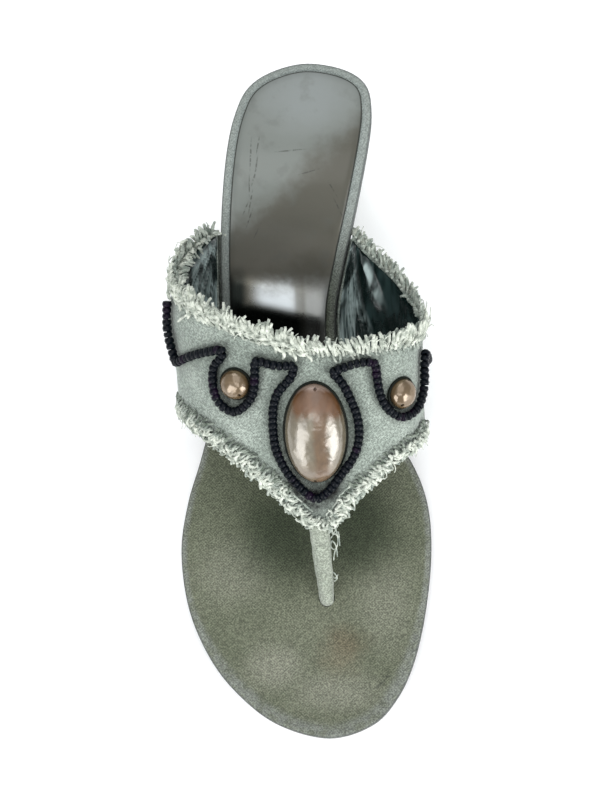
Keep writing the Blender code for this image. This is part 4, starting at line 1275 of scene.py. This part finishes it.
def make_beads(glass):
    """Glass beads threaded side by side, one shape copied along the string."""
    rng = random.Random(5)
    path, forward = bead_places()
    model = add(bpy.ops.mesh.primitive_torus_add, major_radius=BEAD_RING[0] * MM,
                minor_radius=BEAD_RING[1] * MM, major_segments=10, minor_segments=6)
    model.data.transform(Matrix.Diagonal((1.0, 1.0, BEAD_LONG, 1.0)))
    beads = []
    for here, ahead in zip(path, forward):
        bead = model.copy()
        bead.data = model.data.copy()
        bpy.context.scene.collection.objects.link(bead)
        tilt = Vector(ahead + np.array([rng.uniform(-0.10, 0.10) for _ in range(3)]))
        size = rng.uniform(0.95, 1.04)
        turn = tilt.to_track_quat("Z", "Y").to_matrix().to_4x4()
        bead.data.transform(Matrix.Translation(Vector(to_frame(here))) @ turn
                            @ Matrix.Scale(size, 4))
        beads.append(bead)
    bpy.data.objects.remove(model)
    wear(join(beads, "beads"), glass, "dark_beads", "bead_trim", crisp=80.0)
    wear(spin_yarns("bead_thread", [path], 0.5), glass, "dark_beads", crisp=70.0)


# ---- stage ----
def make_stage():
    floor = add(bpy.ops.mesh.primitive_plane_add, size=6.0)
    floor.name = "floor"
    paper = Finish("floor_paper", Roughness=0.9, Specular_IOR_Level=0.1, Emission_Strength=0.09,
                   Emission_Color=(1.0, 1.0, 1.0, 1.0))
    paper.over(Base_Color=paper.mix(paper.noise(400.0), (0.95, 0.955, 0.96), (0.965, 0.965, 0.965)))
    floor.data.materials.append(paper.material)

    world = bpy.context.scene.world or bpy.data.worlds.new("studio")
    bpy.context.scene.world = world
    world.use_nodes = True
    sky = world.node_tree.nodes["Background"].inputs
    sky["Color"].default_value = (0.93, 0.96, 1.0, 1.0)
    sky["Strength"].default_value = 0.52


LIGHTS = (
    # name, place (x, y, z) in m, width, height, power
    ("left_box", (-0.72, -0.86, 0.50), 0.56, 0.90, 8.3),
    ("right_box", (0.84, -0.76, 0.42), 0.66, 0.85, 13.2),
    ("front_box", (-0.08, -0.50, 1.14), 0.66, 0.36, 2.3),
    ("over_box", (0.00, 0.32, 1.28), 1.20, 1.10, 5.8),
    ("back_box", (-0.20, 1.10, 0.90), 0.80, 0.60, 4.0),
)


def make_lights():
    for name, place, width, height, power in LIGHTS:
        lamp = add(bpy.ops.object.light_add, type="AREA", location=place)
        lamp.name = name
        lamp.data.shape = "RECTANGLE"
        lamp.data.size = width
        lamp.data.size_y = height
        lamp.data.energy = power
        aim = Vector((0.0, 0.0, 0.03)) - Vector(place)
        lamp.rotation_euler = aim.to_track_quat("-Z", "Y").to_euler()


VIEW_FROM = (47.83, -138.93, 765.67)      # mm, over the place where the left shoe would stand
VIEW_AT = (-0.24, 3.0, 30.0)
LENS = 128.0


def make_camera():
    camera = add(bpy.ops.object.camera_add, location=Vector(VIEW_FROM) * MM)
    camera.name = "camera"
    forward = (Vector(VIEW_AT) - Vector(VIEW_FROM)).normalized()
    right = forward.cross(Vector((0.0, 1.0, 0.0))).normalized()
    above = right.cross(forward)
    camera.rotation_euler = Matrix((right, above, -forward)).transposed().to_euler()
    camera.data.lens = LENS
    camera.data.sensor_fit = "HORIZONTAL"
    camera.data.sensor_width = 36.0
    bpy.context.scene.camera = camera


def main():
    canvas = woven("upper_canvas", (0.266, 0.311, 0.271), (0.334, 0.381, 0.336))
    rubber = black_rubber()
    oval = pearl("oval_pearl", (0.164, 0.141, 0.098), (0.108, 0.044, 0.010), 0.14, 0.13,
                 0.20, 0.12, 0.8)
    round_stone = pearl("round_pearl", (0.15, 0.11, 0.07), (0.150, 0.100, 0.050), 0.40, 0.14,
                        0.40, 0.0, 0.0)
    # Near black for the ring round each stone's foot, partly painted shadow.
    shade_edging = Finish("stone_edging", Roughness=0.6, Specular_IOR_Level=0.1)
    shade_edging.over(Base_Color=shade_edging.mix(shade_edging.noise(1.0), (0.003, 0.004, 0.003),
                                      (0.012, 0.015, 0.010)))
    make_stage()
    make_lights()
    make_camera()
    make_insole(board_canvas())
    make_sock(sock_leather())
    make_outsole(rubber)
    make_heel(canvas, rubber)
    make_canvas(canvas)
    make_lining(lining_leather())
    wear(post_tube("toe_post"), woven("post_canvas", (0.285, 0.318, 0.258), (0.335, 0.366, 0.305)),
         "canvas", crisp=60.0)
    make_fringes({kind: loose_yarn(kind, dark, light) for kind, dark, light in YARNS})
    for name, around, y, half_width, half_length, dome, holes in STONES:
        make_stone(name, around, y, half_width, half_length, dome, holes,
                   oval if name == "oval" else round_stone, shade_edging)
    make_beads(bead_glass())
    bpy.context.scene.view_settings.view_transform = "Standard"


main()
